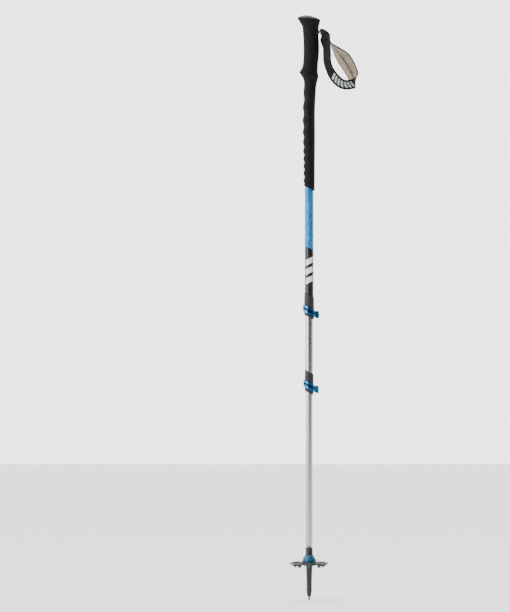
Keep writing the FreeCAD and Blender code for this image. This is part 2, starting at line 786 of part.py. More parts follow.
def make_lever(side):
    """The cam lever: a forked boss with an eccentric outside, and an arm round the clamp."""
    blank = new_body(f"{side}_lever_blank", lock_frame(side), kept=False)
    across, down = screw_place(side), f"-{PIVOT_DEPTH}"
    inside = f"({side}_clamp_radius + lever_gap)"
    outside = f"({inside} + lever_thickness)"
    pivot_angle = f"atan({PIVOT_DEPTH} / {across}) / (1 deg)"
    start = f"(-({pivot_angle}) - arm_start)"
    ring = box_corners(inside, outside, "-boss_height", "2 * boss_height")
    arm = turned(blank, ring, "arm", offset=place(rotation=turn("y", start)),
                 angle="lever_wrap - arm_start")
    arm.Reversed = True
    boss = new_sketch(blank, "XY_Plane")
    circle(boss, "cam_radius", across, f"{down} + cam_throw")
    padded(blank, boss, "boss", "boss_height")
    hood = new_sketch(blank, "XY_Plane")
    bend = f"(-({pivot_angle}) - hood_end)"
    rim = "(cam_radius + lever_hood + hood_clearance)"
    root = "hood_root * cam_radius"
    corners = [(f"{across} + {root} * cos(hood_start)", f"{down} - {root} * sin(hood_start)")]
    corners += [(f"{across} + {rim} * cos({angle})", f"{down} - {rim} * sin({angle})")
                for angle in HOOD_ANGLES]
    corners += [
        (f"{outside} * cos({bend} + hood_crease)",
         f"({outside} + edge_width) * sin({bend} + hood_crease)"),
        (f"{outside} * cos({bend})", f"{outside} * sin({bend})"),
        (f"{inside} * cos({bend})", f"{inside} * sin({bend})"),
        (f"{inside} * cos(-({pivot_angle}) - hood_inner_far)",
         f"{inside} * sin(-({pivot_angle}) - hood_inner_far)"),
        (f"{inside} * cos(-({pivot_angle}) - hood_inner_near)",
         f"{inside} * sin(-({pivot_angle}) - hood_inner_near)"),
        (across, down),
    ]
    outline(hood, corners)
    padded(blank, hood, "hood", "boss_height")
    cut_band(blank, side, "lever_width / (2 * cos(lock_tilt))", "boss_height / 2")
    gap = new_sketch(blank, "XY_Plane")
    circle(gap, "cam_radius + hood_clearance", across, down)
    pocketed(blank, gap, "head_space", "lever_slot")
    sweep = new_sketch(blank, "XY_Plane")
    reach = "(3 * cam_radius)"
    fan = [(f"{across} + {reach} * cos({a})", f"{down} + {reach} * sin({a})")
           for a in SWEEP_ANGLES]
    outline(sweep, [(across, down)] + fan)
    pocketed(blank, sweep, "shank_space", "lever_slot")
    bore = new_sketch(blank, "XY_Plane")
    circle(bore, "barrel_radius + pivot_gap", across, down)
    pocketed(blank, bore, "bore", "2 * boss_height")
    depth = "(cam_radius + lever_hood)"
    key = new_sketch(blank, "XZ_Plane", place(z=f"{PIVOT_DEPTH} + {depth}"))
    circle(key, "lever_key_radius", across)
    pocketed(blank, key, "key_hole", f"2 * ({depth} - edge_width)")
    panel = new_body(f"{side}_lever_panel", lock_frame(side), kept=False)
    layer = box_corners(f"{outside} - recess_depth", f"{outside} + recess_depth",
                        "-boss_height", "2 * boss_height")
    panel_from = f"(-({pivot_angle}) - recess_start)"
    panel_sweep = "lever_wrap - recess_start - recess_end"
    skin = turned(panel, layer, "layer", offset=place(rotation=turn("y", panel_from)),
                  angle=panel_sweep)
    skin.Reversed = True
    cut_band(panel, side, "recess_width / (2 * cos(lock_tilt))")
    lever = doc.addObject("Part::Cut", f"{side}_lever")
    lever.Label = f"{side}_lever"
    lever.Base = blank
    lever.Tool = panel
    parts.append(lever)


for side, tube, inner in (("upper", "upper_radius", "middle_radius"),
                          ("lower", "middle_radius", "lower_radius")):
    make_clamp(side, tube, inner)
    make_screw(side)
    make_nut(side)
    make_washer(side)
    make_barrel(side)
    make_lever(side)


# ---------------------------------------------------------------- grip

SLOT_LOW = "(strap_height - slot_half_height)"
SLOT_HIGH = "(strap_height + slot_half_height)"


def cut_slot(body, start, end):
    """The strap's slot, open from x = start to x = end."""
    sketch = new_sketch(body, "YZ_Plane", place(z=f"({start} + {end}) / 2"))
    outline(sketch, box_corners("-slot_width / 2", "slot_width / 2", SLOT_LOW, SLOT_HIGH))
    pocketed(body, sketch, "slot", f"({end}) - ({start})")


def make_core():
    """The moulded insert bonded over the tube, with the strap slot and the cap's socket."""
    body = new_body("grip_core")
    inside = "upper_radius + fit_gap"
    socket_floor = "core_top - plug_length - plug_room"
    corners = [
        (inside, "core_start"),
        ("core_radius", "core_start"),
        ("core_radius", "core_head_start - edge_width"),
        ("core_head_radius", "core_head_start"),
        ("core_head_radius", "core_top"),
        ("plug_radius + fit_gap", "core_top"),
        ("plug_radius + fit_gap", socket_floor),
        ("0", socket_floor),
        ("0", "tube_top + tube_room"),
        (inside, "tube_top + tube_room"),
    ]
    turned(body, corners, "shell")
    cut_slot(body, "slot_start", "core_head_radius + spare_reach")
    hole = new_sketch(body, "XZ_Plane")
    circle(hole, "pin_radius + fit_gap", "pin_place", "strap_height")
    pocketed(body, hole, "pin_hole", "pin_length + 2 * fit_gap")


LEDGE_LINE = "(ledge_height - (core_head_radius + ledge_front) * tan(ledge_tilt))"


def head_section(name):
    """The foam head's oval of that name, in formulas."""
    height = "rim_height" if name == "rim" else f"rim_height - {name}_drop"
    return (height, f"core_head_radius + {name}_front", f"core_head_radius + {name}_rear",
            f"{name}_flatten")


def make_foam():
    """The foam head: a swelling palm between the ledge and the rim under the cap."""
    body = new_body("grip_foam")
    names = ("ledge", "shelf", "heel", "palm", "neck", "throat", "rim")
    ledge, front, rear, flatten = head_section("ledge")
    below = (f"{ledge} - collar_drop - collar_lead", front, f"{rear} + spare_reach", flatten)
    lofted(body, [below] + [head_section(name) for name in names], "skin")
    cut_slant(body, "ledge_cut", f"{LEDGE_LINE} + seam_gap / 2", "ledge_tilt", "-cut_reach")
    bore = [
        ("0", "ledge_height - cut_reach"),
        ("core_radius + fit_gap", "ledge_height - cut_reach"),
        ("core_radius + fit_gap", "core_head_start - edge_width - fit_gap"),
        ("core_head_radius + fit_gap", "core_head_start - fit_gap"),
        ("core_head_radius + fit_gap", "rim_height + spare_reach"),
        ("0", "rim_height + spare_reach"),
    ]
    turned(body, bore, "bore", "Groove")
    cut_slot(body, "pin_place", "neck_reach + 4 * spare_reach")


CREST = "(upper_radius + crest_front)"


def make_sleeve():
    """The foam sleeve below the ledge: scallops on its front that close up downwards."""
    body = new_body("grip_sleeve")
    crest = "scallop_start"
    _, front, rear, flatten = head_section("ledge")
    sections = [("ledge_height + spare_reach", front, rear, flatten)]
    for height, name, flatten in (("ledge_height - collar_drop", "collar", "collar_flatten"),
                                  ("ledge_height - brim_drop", "brim", "brim_flatten"),
                                  ("waist_height", "waist", "sleeve_flatten")):
        sections.append((height, f"upper_radius + {name}_front", f"upper_radius + {name}_rear",
                         flatten))
    count = int(value("scallop_count"))
    for k in range(count):
        share = f"{k} / scallop_count"
        rear = ("(upper_radius + sleeve_rear_top"
                f" + (sleeve_rear_foot - sleeve_rear_top) * {share})")
        pitch = f"max(scallop_pitch * scallop_ratio ^ {k}; scallop_least)"
        valley = f"({crest} - {pitch} / 2)"
        sections.append((crest, CREST, rear, "sleeve_flatten"))
        if k < count - 1:
            sections.append((valley, f"{CREST} - scallop_depth", rear, "sleeve_flatten"))
        crest = f"({crest} - {pitch})"
    sections.append(("sleeve_foot - foot_room", CREST, "upper_radius + sleeve_rear_foot",
                     "sleeve_flatten"))
    lofted(body, sections[::-1], "skin")
    cut_slant(body, "brim_cut", f"{LEDGE_LINE} - seam_gap / 2", "ledge_tilt", "cut_reach")
    cut_slant(body, "foot_cut", "sleeve_foot", "lock_tilt", "-cut_reach")
    bore = [
        ("0", "sleeve_foot - cut_reach"),
        ("upper_radius + fit_gap", "sleeve_foot - cut_reach"),
        ("upper_radius + fit_gap", "core_start - fit_gap"),
        ("core_radius + fit_gap", "core_start - fit_gap"),
        ("core_radius + fit_gap", "ledge_height + cut_reach"),
        ("0", "ledge_height + cut_reach"),
    ]
    turned(body, bore, "bore", "Groove")


def make_cap():
    """The domed cap on the rim, with a plug that presses into the core."""
    body = new_body("grip_cap")
    _, front, rear, flatten = head_section("rim")
    sections = [("rim_height + seam_gap", front, rear, flatten)]
    for name in ("cap_brow", "cap_slope", "cap_crown"):
        _, front, rear, flatten = head_section(name)
        sections.append((f"rim_height + {name}_rise", front, rear, flatten))
    lofted(body, sections, "dome")
    foot, head = "(core_top - plug_length)", "(rim_height + edge_width)"
    plug = new_sketch(body, "XY_Plane", place(z=f"({foot} + {head}) / 2"))
    circle(plug, "plug_radius")
    padded(body, plug, "plug", f"{head} - {foot}")


def make_pin():
    body = new_body("strap_pin", place("pin_place", 0, "strap_height"))
    sketch = new_sketch(body, "XZ_Plane")
    circle(sketch, "pin_radius")
    padded(body, sketch, "rod", "pin_length")


LAYER_HALF = "(webbing_split / 2 + webbing_thickness)"


def make_wedge():
    """The wedge under the webbing that grips it against the slot's roof."""
    start = "(core_head_radius - wedge_inset)"
    body = new_body("strap_wedge")
    sketch = new_sketch(body, "XZ_Plane")
    outline(sketch, [
        (start, f"strap_height - {LAYER_HALF} - wedge_nose"),
        (f"{start} + wedge_ramp", f"{SLOT_LOW} + fit_gap"),
        (f"{start} + wedge_length", f"{SLOT_LOW} + fit_gap"),
        (f"{start} + wedge_length", f"strap_height - {LAYER_HALF} - fit_gap"),
        (start, f"strap_height - {LAYER_HALF} - fit_gap"),
    ])
    padded(body, sketch, "block", "webbing_width")


def make_root():
    """The webbing in the slot: two layers that meet round the pin."""
    body = new_body("strap_root")
    layers = new_sketch(body, "XZ_Plane")
    outline(layers, box_corners("pin_place", "neck_reach + root_proud",
                                f"strap_height - {LAYER_HALF}",
                                f"strap_height + {LAYER_HALF}"))
    padded(body, layers, "layers", "webbing_width")
    fold = new_sketch(body, "XZ_Plane")
    circle(fold, "pin_radius + webbing_thickness", "pin_place", "strap_height")
    padded(body, fold, "fold", "webbing_width")
    eye = new_sketch(body, "XZ_Plane")
    circle(eye, "pin_radius + fit_gap", "pin_place", "strap_height")
    pocketed(body, eye, "eye", "webbing_width + 2 * spare_reach")
    split = new_sketch(body, "XZ_Plane")
    outline(split, box_corners("pin_place", "neck_reach + root_proud + spare_reach",
                               "strap_height - webbing_split / 2",
                               "strap_height + webbing_split / 2"))
    pocketed(body, split, "split", "webbing_width + 2 * spare_reach")


make_core()
make_foam()
make_sleeve()
make_cap()
make_pin()
make_wedge()
make_root()


# ---------------------------------------------------------------- wrist strap loop
# Each station of the loop: its place from the strap's pivot (x, y, z), the direction across
# the webbing (x, y, z), and how much of the way from webbing to pad its width has gone. The
# loop leaves the slot's upper layer, opens into the pad, turns under and comes back.

LOOP = [
    (0, 0, 1, 0, 20, 0, 0),
    (6.7, 1.5, 0.4, 2, 18.5, 7, 0),
    (15, 4, -7.6, 4, 16.5, 9, 0),
    (21.1, 8, -18, 0, 20, 0, 0.08),
    (28.4, 12, -26.8, -5, 23, -3, 0.25),
    (35.7, 16, -34.6, -11.7, 26, -5.9, 0.6),
    (41.9, 19.5, -42, -17.5, 25.4, -11.7, 0.87),
    (48.9, 22, -51.5, -21.5, 23.2, -15, 1),
    (56.4, 22.5, -63, -22, 22.7, -15, 1),
    (62.9, 21, -74.5, -19.5, 20, -14.3, 0.85),
    (68.1, 17, -85.8, -14.4, 12, -12, 0.6),
    (71.2, 9, -95.5, -8, 8, -14, 0.35),
    (72, -0.5, -102, -1, 3, -17.6, 0.15),
    (69, -9, -105.5, 1, 1, -18.8, 0.05),
    (62.3, -13.5, -107.7, 1.4, 0, -18.8, 0),
    (55, -15.5, -108.6, -2.6, 1, -17.5, 0),
    (47, -17, -107.8, -5.2, 2, -17.5, 0),
    (38, -18, -103, -7.8, 4, -18.2, 0),
    (27.5, -19, -92, -11.7, 7, -16.3, 0),
    (18.5, -19, -76, -13, 12, -9, 0),
    (14.3, -18.5, -60.8, -15.3, 12.6, -2.6, 0),
    (13.5, -17, -44.5, -15.9, 11.6, -1, 0),
    (13.6, -14, -30.5, -13.3, 14.8, -2, 0),
    (10.8, -9.5, -21, -11.6, 16.2, 1.4, 0),
    (6.8, -5, -12.5, -10.1, 17, 2.5, 0),
    (2.6, -1.6, -5, -4, 19, 3, 0),
    (0, 0, -1, 0, 20, 0, 0),
]
PAD_START, PAD_END = 4, 11


def band_section(index, thickness, inward, narrowing):
    """A rectangle across the loop at a station, moved inward from the webbing's middle."""
    centres = [FreeCAD.Vector(*station[:3]) for station in LOOP]
    before = centres[max(index - 1, 0)]
    after = centres[min(index + 1, len(LOOP) - 1)]
    along = (after - before).normalize()
    across = FreeCAD.Vector(*LOOP[index][3:6])
    across = (across - along * across.dot(along)).normalize()
    outward = along.cross(across)
    webbing, pad = value("webbing_width"), value("loop_pad_width")
    half = (webbing + (pad - webbing) * LOOP[index][6]) / 2 - narrowing
    middle = centres[index] - outward * inward
    corners = [middle + across * (half * a) + outward * (thickness / 2 * b)
               for a, b in ((-1, -1), (1, -1), (1, 1), (-1, 1))]
    return Part.makePolygon(corners + corners[:1])


def make_band(label, first, last, thickness, inward=0, narrowing=0):
    """A soft band through the loop's stations, as one closed ruled solid."""
    sections = [band_section(i, thickness, inward, narrowing) for i in range(first, last + 1)]
    band = doc.addObject("Part::Feature", label)
    band.Label = label
    band.Shape = Part.makeLoft(sections, True, True)
    pivot = place("neck_reach + loop_pivot_offset", 0, "strap_height")
    band.setExpression("Placement", bound(pivot))
    parts.append(band)


webbing = value("webbing_thickness")
lining = value("lining_thickness")
make_band("strap_webbing", 0, len(LOOP) - 1, webbing)
make_band("strap_lining", PAD_START, PAD_END, lining,
          (webbing + lining) / 2 + value("lining_gap"), value("lining_inset"))


# ---------------------------------------------------------------- check and export

doc.recompute()
for item in doc.Objects:
    if {"Invalid", "Error"} & set(item.State):
        raise RuntimeError(f"{item.Name} failed: {item.State}")
for part in parts:
    if part.Shape.isNull() or not part.Shape.isValid() or part.Shape.Volume <= 0:
        raise RuntimeError(f"{part.Label} has no valid solid")

os.makedirs("parts", exist_ok=True)
for part in parts:
    part.Shape.exportStep(f"parts/{part.Label}.step")
print(len(parts), "sub-parts written")
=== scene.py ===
import json
import math

import bmesh
import bpy
import numpy as np
from bpy.props import FloatProperty, FloatVectorProperty, PointerProperty
from bpy.types import Operator, Panel, PropertyGroup
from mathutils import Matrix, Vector


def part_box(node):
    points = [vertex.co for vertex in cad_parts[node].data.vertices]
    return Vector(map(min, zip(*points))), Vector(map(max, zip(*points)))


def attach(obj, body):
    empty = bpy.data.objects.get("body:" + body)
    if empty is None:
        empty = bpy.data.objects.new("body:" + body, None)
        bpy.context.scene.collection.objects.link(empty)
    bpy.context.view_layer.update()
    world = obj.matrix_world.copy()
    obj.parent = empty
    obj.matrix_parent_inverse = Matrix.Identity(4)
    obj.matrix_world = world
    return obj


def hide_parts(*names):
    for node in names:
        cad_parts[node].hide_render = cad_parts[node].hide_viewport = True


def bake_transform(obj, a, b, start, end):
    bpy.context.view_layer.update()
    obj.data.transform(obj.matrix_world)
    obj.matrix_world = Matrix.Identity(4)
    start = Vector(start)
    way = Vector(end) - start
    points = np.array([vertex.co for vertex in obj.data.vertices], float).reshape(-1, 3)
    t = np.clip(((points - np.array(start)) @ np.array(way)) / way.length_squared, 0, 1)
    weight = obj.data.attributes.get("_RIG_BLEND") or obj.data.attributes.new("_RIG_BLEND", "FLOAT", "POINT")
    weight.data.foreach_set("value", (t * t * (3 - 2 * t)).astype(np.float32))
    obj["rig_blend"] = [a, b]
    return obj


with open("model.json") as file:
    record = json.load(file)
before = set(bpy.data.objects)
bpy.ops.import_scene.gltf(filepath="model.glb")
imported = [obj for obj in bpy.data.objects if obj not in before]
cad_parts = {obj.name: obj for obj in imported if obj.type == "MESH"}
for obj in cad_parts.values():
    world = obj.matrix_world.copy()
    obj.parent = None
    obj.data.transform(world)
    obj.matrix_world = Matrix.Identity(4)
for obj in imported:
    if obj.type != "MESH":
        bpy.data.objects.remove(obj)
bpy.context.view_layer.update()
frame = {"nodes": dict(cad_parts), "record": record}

bl_info = {
    "name": "Ski Touring Pole",
    "version": (1, 0, 0),
    "blender": (4, 5, 0),
    "location": "3D View > Sidebar > Ski Pole",
    "description": "Surfaces and finishes of a telescopic touring pole",
    "category": "Add Mesh",
}

# Metres throughout. The pole stands on its tip at the origin with +Z up its axis. +X is the
# rear, where the wrist strap leaves the grip, and -Y is the side the lock levers close across.

MM = 0.001


def linear(hex_colour):
    """The linear colour of an sRGB hex value such as "#1B1718"."""
    shades = [int(hex_colour[i:i + 2], 16) / 255 for i in (1, 3, 5)]
    return [s / 12.92 if s <= 0.04045 else ((s + 0.055) / 1.055) ** 2.4 for s in shades]


def colour_property(name, description, hex_colour):
    return FloatVectorProperty(name=name, description=description, subtype="COLOR", size=3,
                               min=0, max=1, default=linear(hex_colour))


def length_property(name, description, metres):
    return FloatProperty(name=name, description=description, unit="LENGTH", min=0,
                         precision=5, default=metres)


class PoleSizes(PropertyGroup):
    """Sizes of the surfaces that are made here, in metres."""

    foam_cell: length_property("Foam cell", "Width of a cell in the grip foam's skin", 0.9 * MM)
    scallop_depth: length_property("Scallop depth", "Depth of the hollows on the sleeve", 1.9 * MM)
    webbing_width: length_property("Webbing width", "Width of the strap's webbing", 20 * MM)
    webbing_thickness: length_property("Webbing thickness", "Thickness of the webbing", 1.6 * MM)
    pad_width: length_property("Pad width", "Widest part of the strap's pad", 35 * MM)
    lining_inset: length_property("Lining inset", "Webbing's edge to the lining's", 1.2 * MM)
    lining_crown: length_property("Lining crown", "Thickness of the padded lining", 2.3 * MM)
    thread_pitch: length_property("Thread pitch", "From one thread to the next", 1.3 * MM)
    lever_bevel: length_property("Lever bevel", "Radius on the levers' edges", 0.55 * MM)
    moulded_bevel: length_property("Moulded bevel", "Radius on moulded edges", 0.35 * MM)


class PoleColours(PropertyGroup):
    """Colours of the finishes."""

    foam: colour_property("Foam", "Grip foam", "#0E0B0C")
    cap: colour_property("Cap", "Rubber cap", "#151314")
    webbing: colour_property("Webbing", "Strap webbing", "#060908")
    lining: colour_property("Lining", "Padded lining of the strap", "#9A8E78")
    print_blue: colour_property("Print blue", "Main blue of the upper tube's print", "#006AB0")
    paint_black: colour_property("Paint black", "Lower part of the upper tube", "#120F10")
    tube_metal: colour_property("Tube metal", "Bare middle and lower tubes", "#A4A9B1")
    clamp: colour_property("Clamp", "Moulded clamp bodies", "#201E22")
    lever: colour_property("Lever", "Anodised levers", "#0A6C9E")
    ferrule: colour_property("Ferrule", "Moulded ferrule", "#202021")
    hub: colour_property("Hub", "Basket hub", "#0C4E6E")
    disc: colour_property("Disc", "Basket disc", "#272D2A")


# ---------------------------------------------------------------- meshes

def linked(name, mesh):
    piece = bpy.data.objects.new(name, mesh)
    bpy.context.scene.collection.objects.link(piece)
    return piece


def closed_up(mesh):
    """Merges points that coincide, turns the faces outward and shades them smooth."""
    build = bmesh.new()
    build.from_mesh(mesh)
    bmesh.ops.remove_doubles(build, verts=build.verts, dist=1e-7)
    bmesh.ops.recalc_face_normals(build, faces=build.faces)
    build.to_mesh(mesh)
    build.free()
    mesh.shade_smooth()


def surface(name, grid, wrap=False, uv=None, marks=None):
    """A piece from a grid of points, rows by columns by xyz: one quad between each four
    neighbours, and round from the last column to the first when wrap is set. uv is a grid of
    the same rows by (columns, or one more when wrapped) by two. marks are named grids with a
    value for each point, kept as attributes. Rows drawn in to one point are merged into a
    pole."""
    rows, columns = grid.shape[:2]
    index = np.arange(rows * columns).reshape(rows, columns)
    right = np.roll(index, -1, axis=1) if wrap else index[:, 1:]
    left = index if wrap else index[:, :-1]
    quads = np.stack([left[:-1], right[:-1], right[1:], left[1:]], axis=-1).reshape(-1, 4)
    mesh = bpy.data.meshes.new(name)
    mesh.from_pydata(grid.reshape(-1, 3), [], quads)
    if uv is not None:
        corner = np.arange(rows * uv.shape[1]).reshape(rows, uv.shape[1])
        first, second = corner[:, :-1], corner[:, 1:]
        loops = np.stack([first[:-1], second[:-1], second[1:], first[1:]], axis=-1).reshape(-1)
        layer = mesh.uv_layers.new(name="weave")
        layer.data.foreach_set("uv", uv.reshape(-1, 2)[loops].ravel().astype(np.float32))
    for mark, values in (marks or {}).items():
        kept = mesh.attributes.new(mark, "FLOAT", "POINT")
        kept.data.foreach_set("value", np.asarray(values, np.float32).ravel())
    closed_up(mesh)
    return linked(name, mesh)


def curve_through(knots, values, at):
    """A smooth run through the values: cubic Hermite spans whose slope at each knot is the
    mean of its two neighbouring slopes, each weighted by the other span's length."""
    knots, values = np.asarray(knots, float), np.asarray(values, float)
    flat = values.reshape(len(knots), -1)
    slopes = np.gradient(flat, knots, axis=0)
    span = np.clip(np.searchsorted(knots, at, side="right") - 1, 0, len(knots) - 2)
    width = (knots[span + 1] - knots[span])[:, None]
    t = np.clip((at - knots[span])[:, None] / width, 0, 1)
    result = ((2 * t ** 3 - 3 * t ** 2 + 1) * flat[span]
              + (t ** 3 - 2 * t ** 2 + t) * width * slopes[span]
              + (3 * t ** 2 - 2 * t ** 3) * flat[span + 1]
              + (t ** 3 - t ** 2) * width * slopes[span + 1])
    return result.reshape((len(at),) + values.shape[1:])


def ring(count):
    """Angles of that many points evenly round a circle, as one row."""
    return np.linspace(0, 2 * np.pi, count, endpoint=False)[None, :]


def smoothstep(low, high, x):
    """A smooth rise from 0 to 1 between two values: three squares less two cubes."""
    t = np.clip((x - low) / (high - low), 0, 1)
    return t * t * (3 - 2 * t)


def softened(node, width, angle=32, segments=3):
    """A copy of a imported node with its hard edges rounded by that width."""
    mesh = frame["nodes"][node].data.copy()
    build = bmesh.new()
    build.from_mesh(mesh)
    bmesh.ops.remove_doubles(build, verts=build.verts, dist=1e-6)
    bmesh.ops.dissolve_limit(build, angle_limit=math.radians(0.6), verts=build.verts,
                             edges=build.edges)
    build.to_mesh(mesh)
    build.free()
    for name in [a.name for a in mesh.attributes if a.name.startswith("custom_normal")]:
        mesh.attributes.remove(mesh.attributes[name])
    mesh.name = f"{node}_finished"
    piece = linked(f"{node}_finished", mesh)
    mesh.shade_smooth()
    bevel = piece.modifiers.new("edges", "BEVEL")
    bevel.width = width
    bevel.segments = segments
    bevel.limit_method = "ANGLE"
    bevel.angle_limit = math.radians(angle)
    bevel.use_clamp_overlap = True
    bevel.harden_normals = True
    bevel.miter_outer = "MITER_ARC"
    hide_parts(node)
    return piece


# ---------------------------------------------------------------- finishes

def new_finish(name):
    """A material with its output and its shader, to which the nodes are added."""
    finish = bpy.data.materials.new(name)
    finish.use_nodes = True
    finish.node_tree.nodes.clear()
    shader = add_node(finish, "BsdfPrincipled")
    add_node(finish, "OutputMaterial", {"Surface": shader.outputs["BSDF"]})
    return finish, shader


def add_node(finish, kind, inputs=None, **settings):
    """One shader node of a material or world, with its settings, and each input given a value
    or a link."""
    tree = finish.node_tree
    node = tree.nodes.new(f"ShaderNode{kind}")
    for name, setting in settings.items():
        setattr(node, name, setting)
    for name, given in (inputs or {}).items():
        socket = node.inputs[name]
        if isinstance(given, bpy.types.NodeSocket):
            tree.links.new(given, socket)
        else:
            socket.default_value = given
    return node


def set_inputs(finish, shader, **inputs):
    """The shader's own values and links, each under its socket's name in small letters."""
    for name, given in inputs.items():
        socket = next(s for s in shader.inputs if s.name.lower().replace(" ", "_") == name)
        if isinstance(given, bpy.types.NodeSocket):
            finish.node_tree.links.new(given, socket)
        elif socket.type == "RGBA":
            socket.default_value = (*given, 1)
        else:
            socket.default_value = given


def sums(finish, operation, first, second=0.0, third=0.0):
    """A Math node's output."""
    return add_node(finish, "Math", {0: first, 1: second, 2: third}, operation=operation).outputs[0]


def times(finish, first, *others):
    """The product of the values."""
    for other in others:
        first = sums(finish, "MULTIPLY", first, other)
    return first


def rippled(finish, given, pitch):
    """A sine wave along a value, with that pitch."""
    return sums(finish, "SINE", times(finish, given, 2 * math.pi / pitch))


def mixed(finish, share, first, second):
    """A colour between two, by a share from 0 to 1."""
    def filled(colour):
        return colour if isinstance(colour, bpy.types.NodeSocket) else (*colour, 1)
    node = add_node(finish, "Mix", {0: share, 6: filled(first), 7: filled(second)},
                    data_type="RGBA", clamp_factor=True)
    return node.outputs[2]


def ranged(finish, given, low, high, to_low=0.0, to_high=1.0):
    """A value carried from one range to another, held at its ends."""
    node = add_node(finish, "MapRange", {"Value": given, "From Min": low, "From Max": high,
                                         "To Min": to_low, "To Max": to_high}, clamp=True)
    return node.outputs["Result"]


def place_on(finish, stretch=(1, 1, 1)):
    """The piece's own coordinates, in metres, each stretched by a factor."""
    where = add_node(finish, "TexCoord").outputs["Object"]
    return add_node(finish, "Mapping", {"Vector": where, "Scale": stretch}).outputs["Vector"]


def noise_at(finish, vector, size, detail=3.0, roughness=0.5, distortion=0.0):
    """Cloudy noise whose lumps are about that many metres wide."""
    node = add_node(finish, "TexNoise", {"Vector": vector, "Scale": 1 / size, "Detail": detail,
                                         "Roughness": roughness, "Distortion": distortion})
    return node.outputs["Fac"]


def cells_at(finish, vector, size, feature="F1"):
    """Distance to the nearest of scattered points, about that many metres apart."""
    node = add_node(finish, "TexVoronoi", {"Vector": vector, "Scale": 1 / size}, feature=feature)
    return node.outputs["Distance"]


def bumped(finish, height, metres, strength=1.0):
    """The surface's normal, tilted by a height that is worth so many metres."""
    return add_node(finish, "Bump", {"Height": height, "Distance": metres,
                                     "Strength": strength}).outputs["Normal"]


def shade(colour, factor):
    """The same colour, lighter or darker."""
    return [min(1.0, c * factor) for c in colour]


def mottled(finish, pattern, low, high, colour, dark, light):
    """A colour that goes from darker to lighter as the pattern goes from low to high."""
    return mixed(finish, ranged(finish, pattern, low, high), shade(colour, dark),
                 shade(colour, light))


def weave_place(finish):
    """Metres along a band and across it."""
    where = add_node(finish, "UVMap", uv_map="weave").outputs["UV"]
    parts = add_node(finish, "SeparateXYZ", {"Vector": where})
    return parts.outputs[0], parts.outputs[1]


def foam_finish(sizes, colours):
    """EVA foam, compression moulded: a closed skin, quite matt, that shows its cells as fine
    pits and its moulding as slight clouds of lighter and darker black."""
    finish, shader = new_finish("eva_foam_moulded")
    where = place_on(finish)
    pits = cells_at(finish, where, sizes.foam_cell)
    pores = ranged(finish, pits, 0.05, 0.45)
    clouds = noise_at(finish, where, 14 * MM, 4, 0.6)
    speck = noise_at(finish, where, 1.6 * MM, 2, 0.5)
    tone = mottled(finish, clouds, 0.35, 0.65, colours.foam, 0.8, 1.35)
    tone = mixed(finish, ranged(finish, speck, 0.55, 0.75, 0, 0.5), tone, shade(colours.foam, 1.9))
    height = sums(finish, "MULTIPLY_ADD", clouds, 0.4, pores)
    set_inputs(finish, shader, base_color=tone,
               roughness=ranged(finish, clouds, 0.3, 0.7, 0.66, 0.82),
               normal=bumped(finish, height, 0.12 * MM, 0.7), specular_ior_level=0.13)
    return finish


def rubber_finish(colours):
    """Thermoplastic rubber, moulded over the cap: satin, with a fine spark-eroded grain."""
    finish, shader = new_finish("tpe_rubber_moulded")
    where = place_on(finish)
    grain = noise_at(finish, where, 0.7 * MM, 2, 0.6)
    wear = noise_at(finish, where, 9 * MM, 3, 0.55)
    set_inputs(finish, shader,
               base_color=mottled(finish, wear, 0.4, 0.7, colours.cap, 1, 1.5),
               roughness=ranged(finish, wear, 0.3, 0.7, 0.44, 0.6), specular_ior_level=0.32,
               normal=bumped(finish, grain, 0.05 * MM, 0.7))
    return finish


def nylon_finish(name, colour, roughness=0.5, grain_size=0.5 * MM):
    """Glass-filled nylon, injection moulded: even colour, a fine pebbled grain from the mould
    and faint paler streaks where the fibres come near the surface."""
    finish, shader = new_finish(name)
    where = place_on(finish)
    grain = noise_at(finish, where, grain_size, 2, 0.55)
    flow = noise_at(finish, place_on(finish, (1, 1, 0.3)), 5 * MM, 4, 0.65, 0.4)
    tone = mottled(finish, flow, 0.35, 0.75, colour, 0.85, 1.4)
    set_inputs(finish, shader, base_color=tone,
               roughness=ranged(finish, flow, 0.3, 0.7, roughness - 0.06, roughness + 0.08),
               normal=bumped(finish, grain, 0.04 * MM, 0.6), specular_ior_level=0.3)
    return finish


def anodised_finish(name, colour, outside, roughness=0.24):
    """Aluminium, die forged and anodised: a metal mirror softened by a fine matt etch, with
    the dye a little deeper in patches. What faces out from the pole's axis but lies below the
    outside radius is the lever's recess, made matt and coloured dark navy as painted shade."""
    finish, shader = new_finish(name)
    where = place_on(finish)
    etch = noise_at(finish, where, 0.35 * MM, 2, 0.6)
    patches = noise_at(finish, where, 6 * MM, 3, 0.5)
    tone = mottled(finish, patches, 0.35, 0.7, colour, 0.75, 1.3)
    flat = add_node(finish, "VectorMath", {0: where, 1: (1, 1, 0)}, operation="MULTIPLY").outputs[0]
    radius = add_node(finish, "VectorMath", {0: flat}, operation="LENGTH").outputs["Value"]
    radial = add_node(finish, "VectorMath", {0: flat}, operation="NORMALIZE").outputs[0]
    normal = add_node(finish, "TexCoord").outputs["Normal"]
    facing = add_node(finish, "VectorMath", {0: radial, 1: normal},
                      operation="DOT_PRODUCT").outputs["Value"]
    # Painted shade: the lever's recess, facing out below the outside radius, is coloured dark navy
    # (#00182E); it is also made matt.
    recess = times(finish, ranged(finish, facing, 0.7, 0.8),
                   ranged(finish, radius, outside - 0.7 * MM, outside - 0.5 * MM, 1, 0))
    tone = mixed(finish, recess, tone, linear("#00182E"))
    set_inputs(finish, shader, base_color=tone, metallic=1.0,
               roughness=sums(finish, "MULTIPLY_ADD", recess, 0.2, ranged(
                   finish, patches, 0.3, 0.7, roughness - 0.05, roughness + 0.06)),
               normal=bumped(finish, etch, 0.012 * MM, 0.6), coat_weight=0.35,
               coat_roughness=0.12)
    return finish


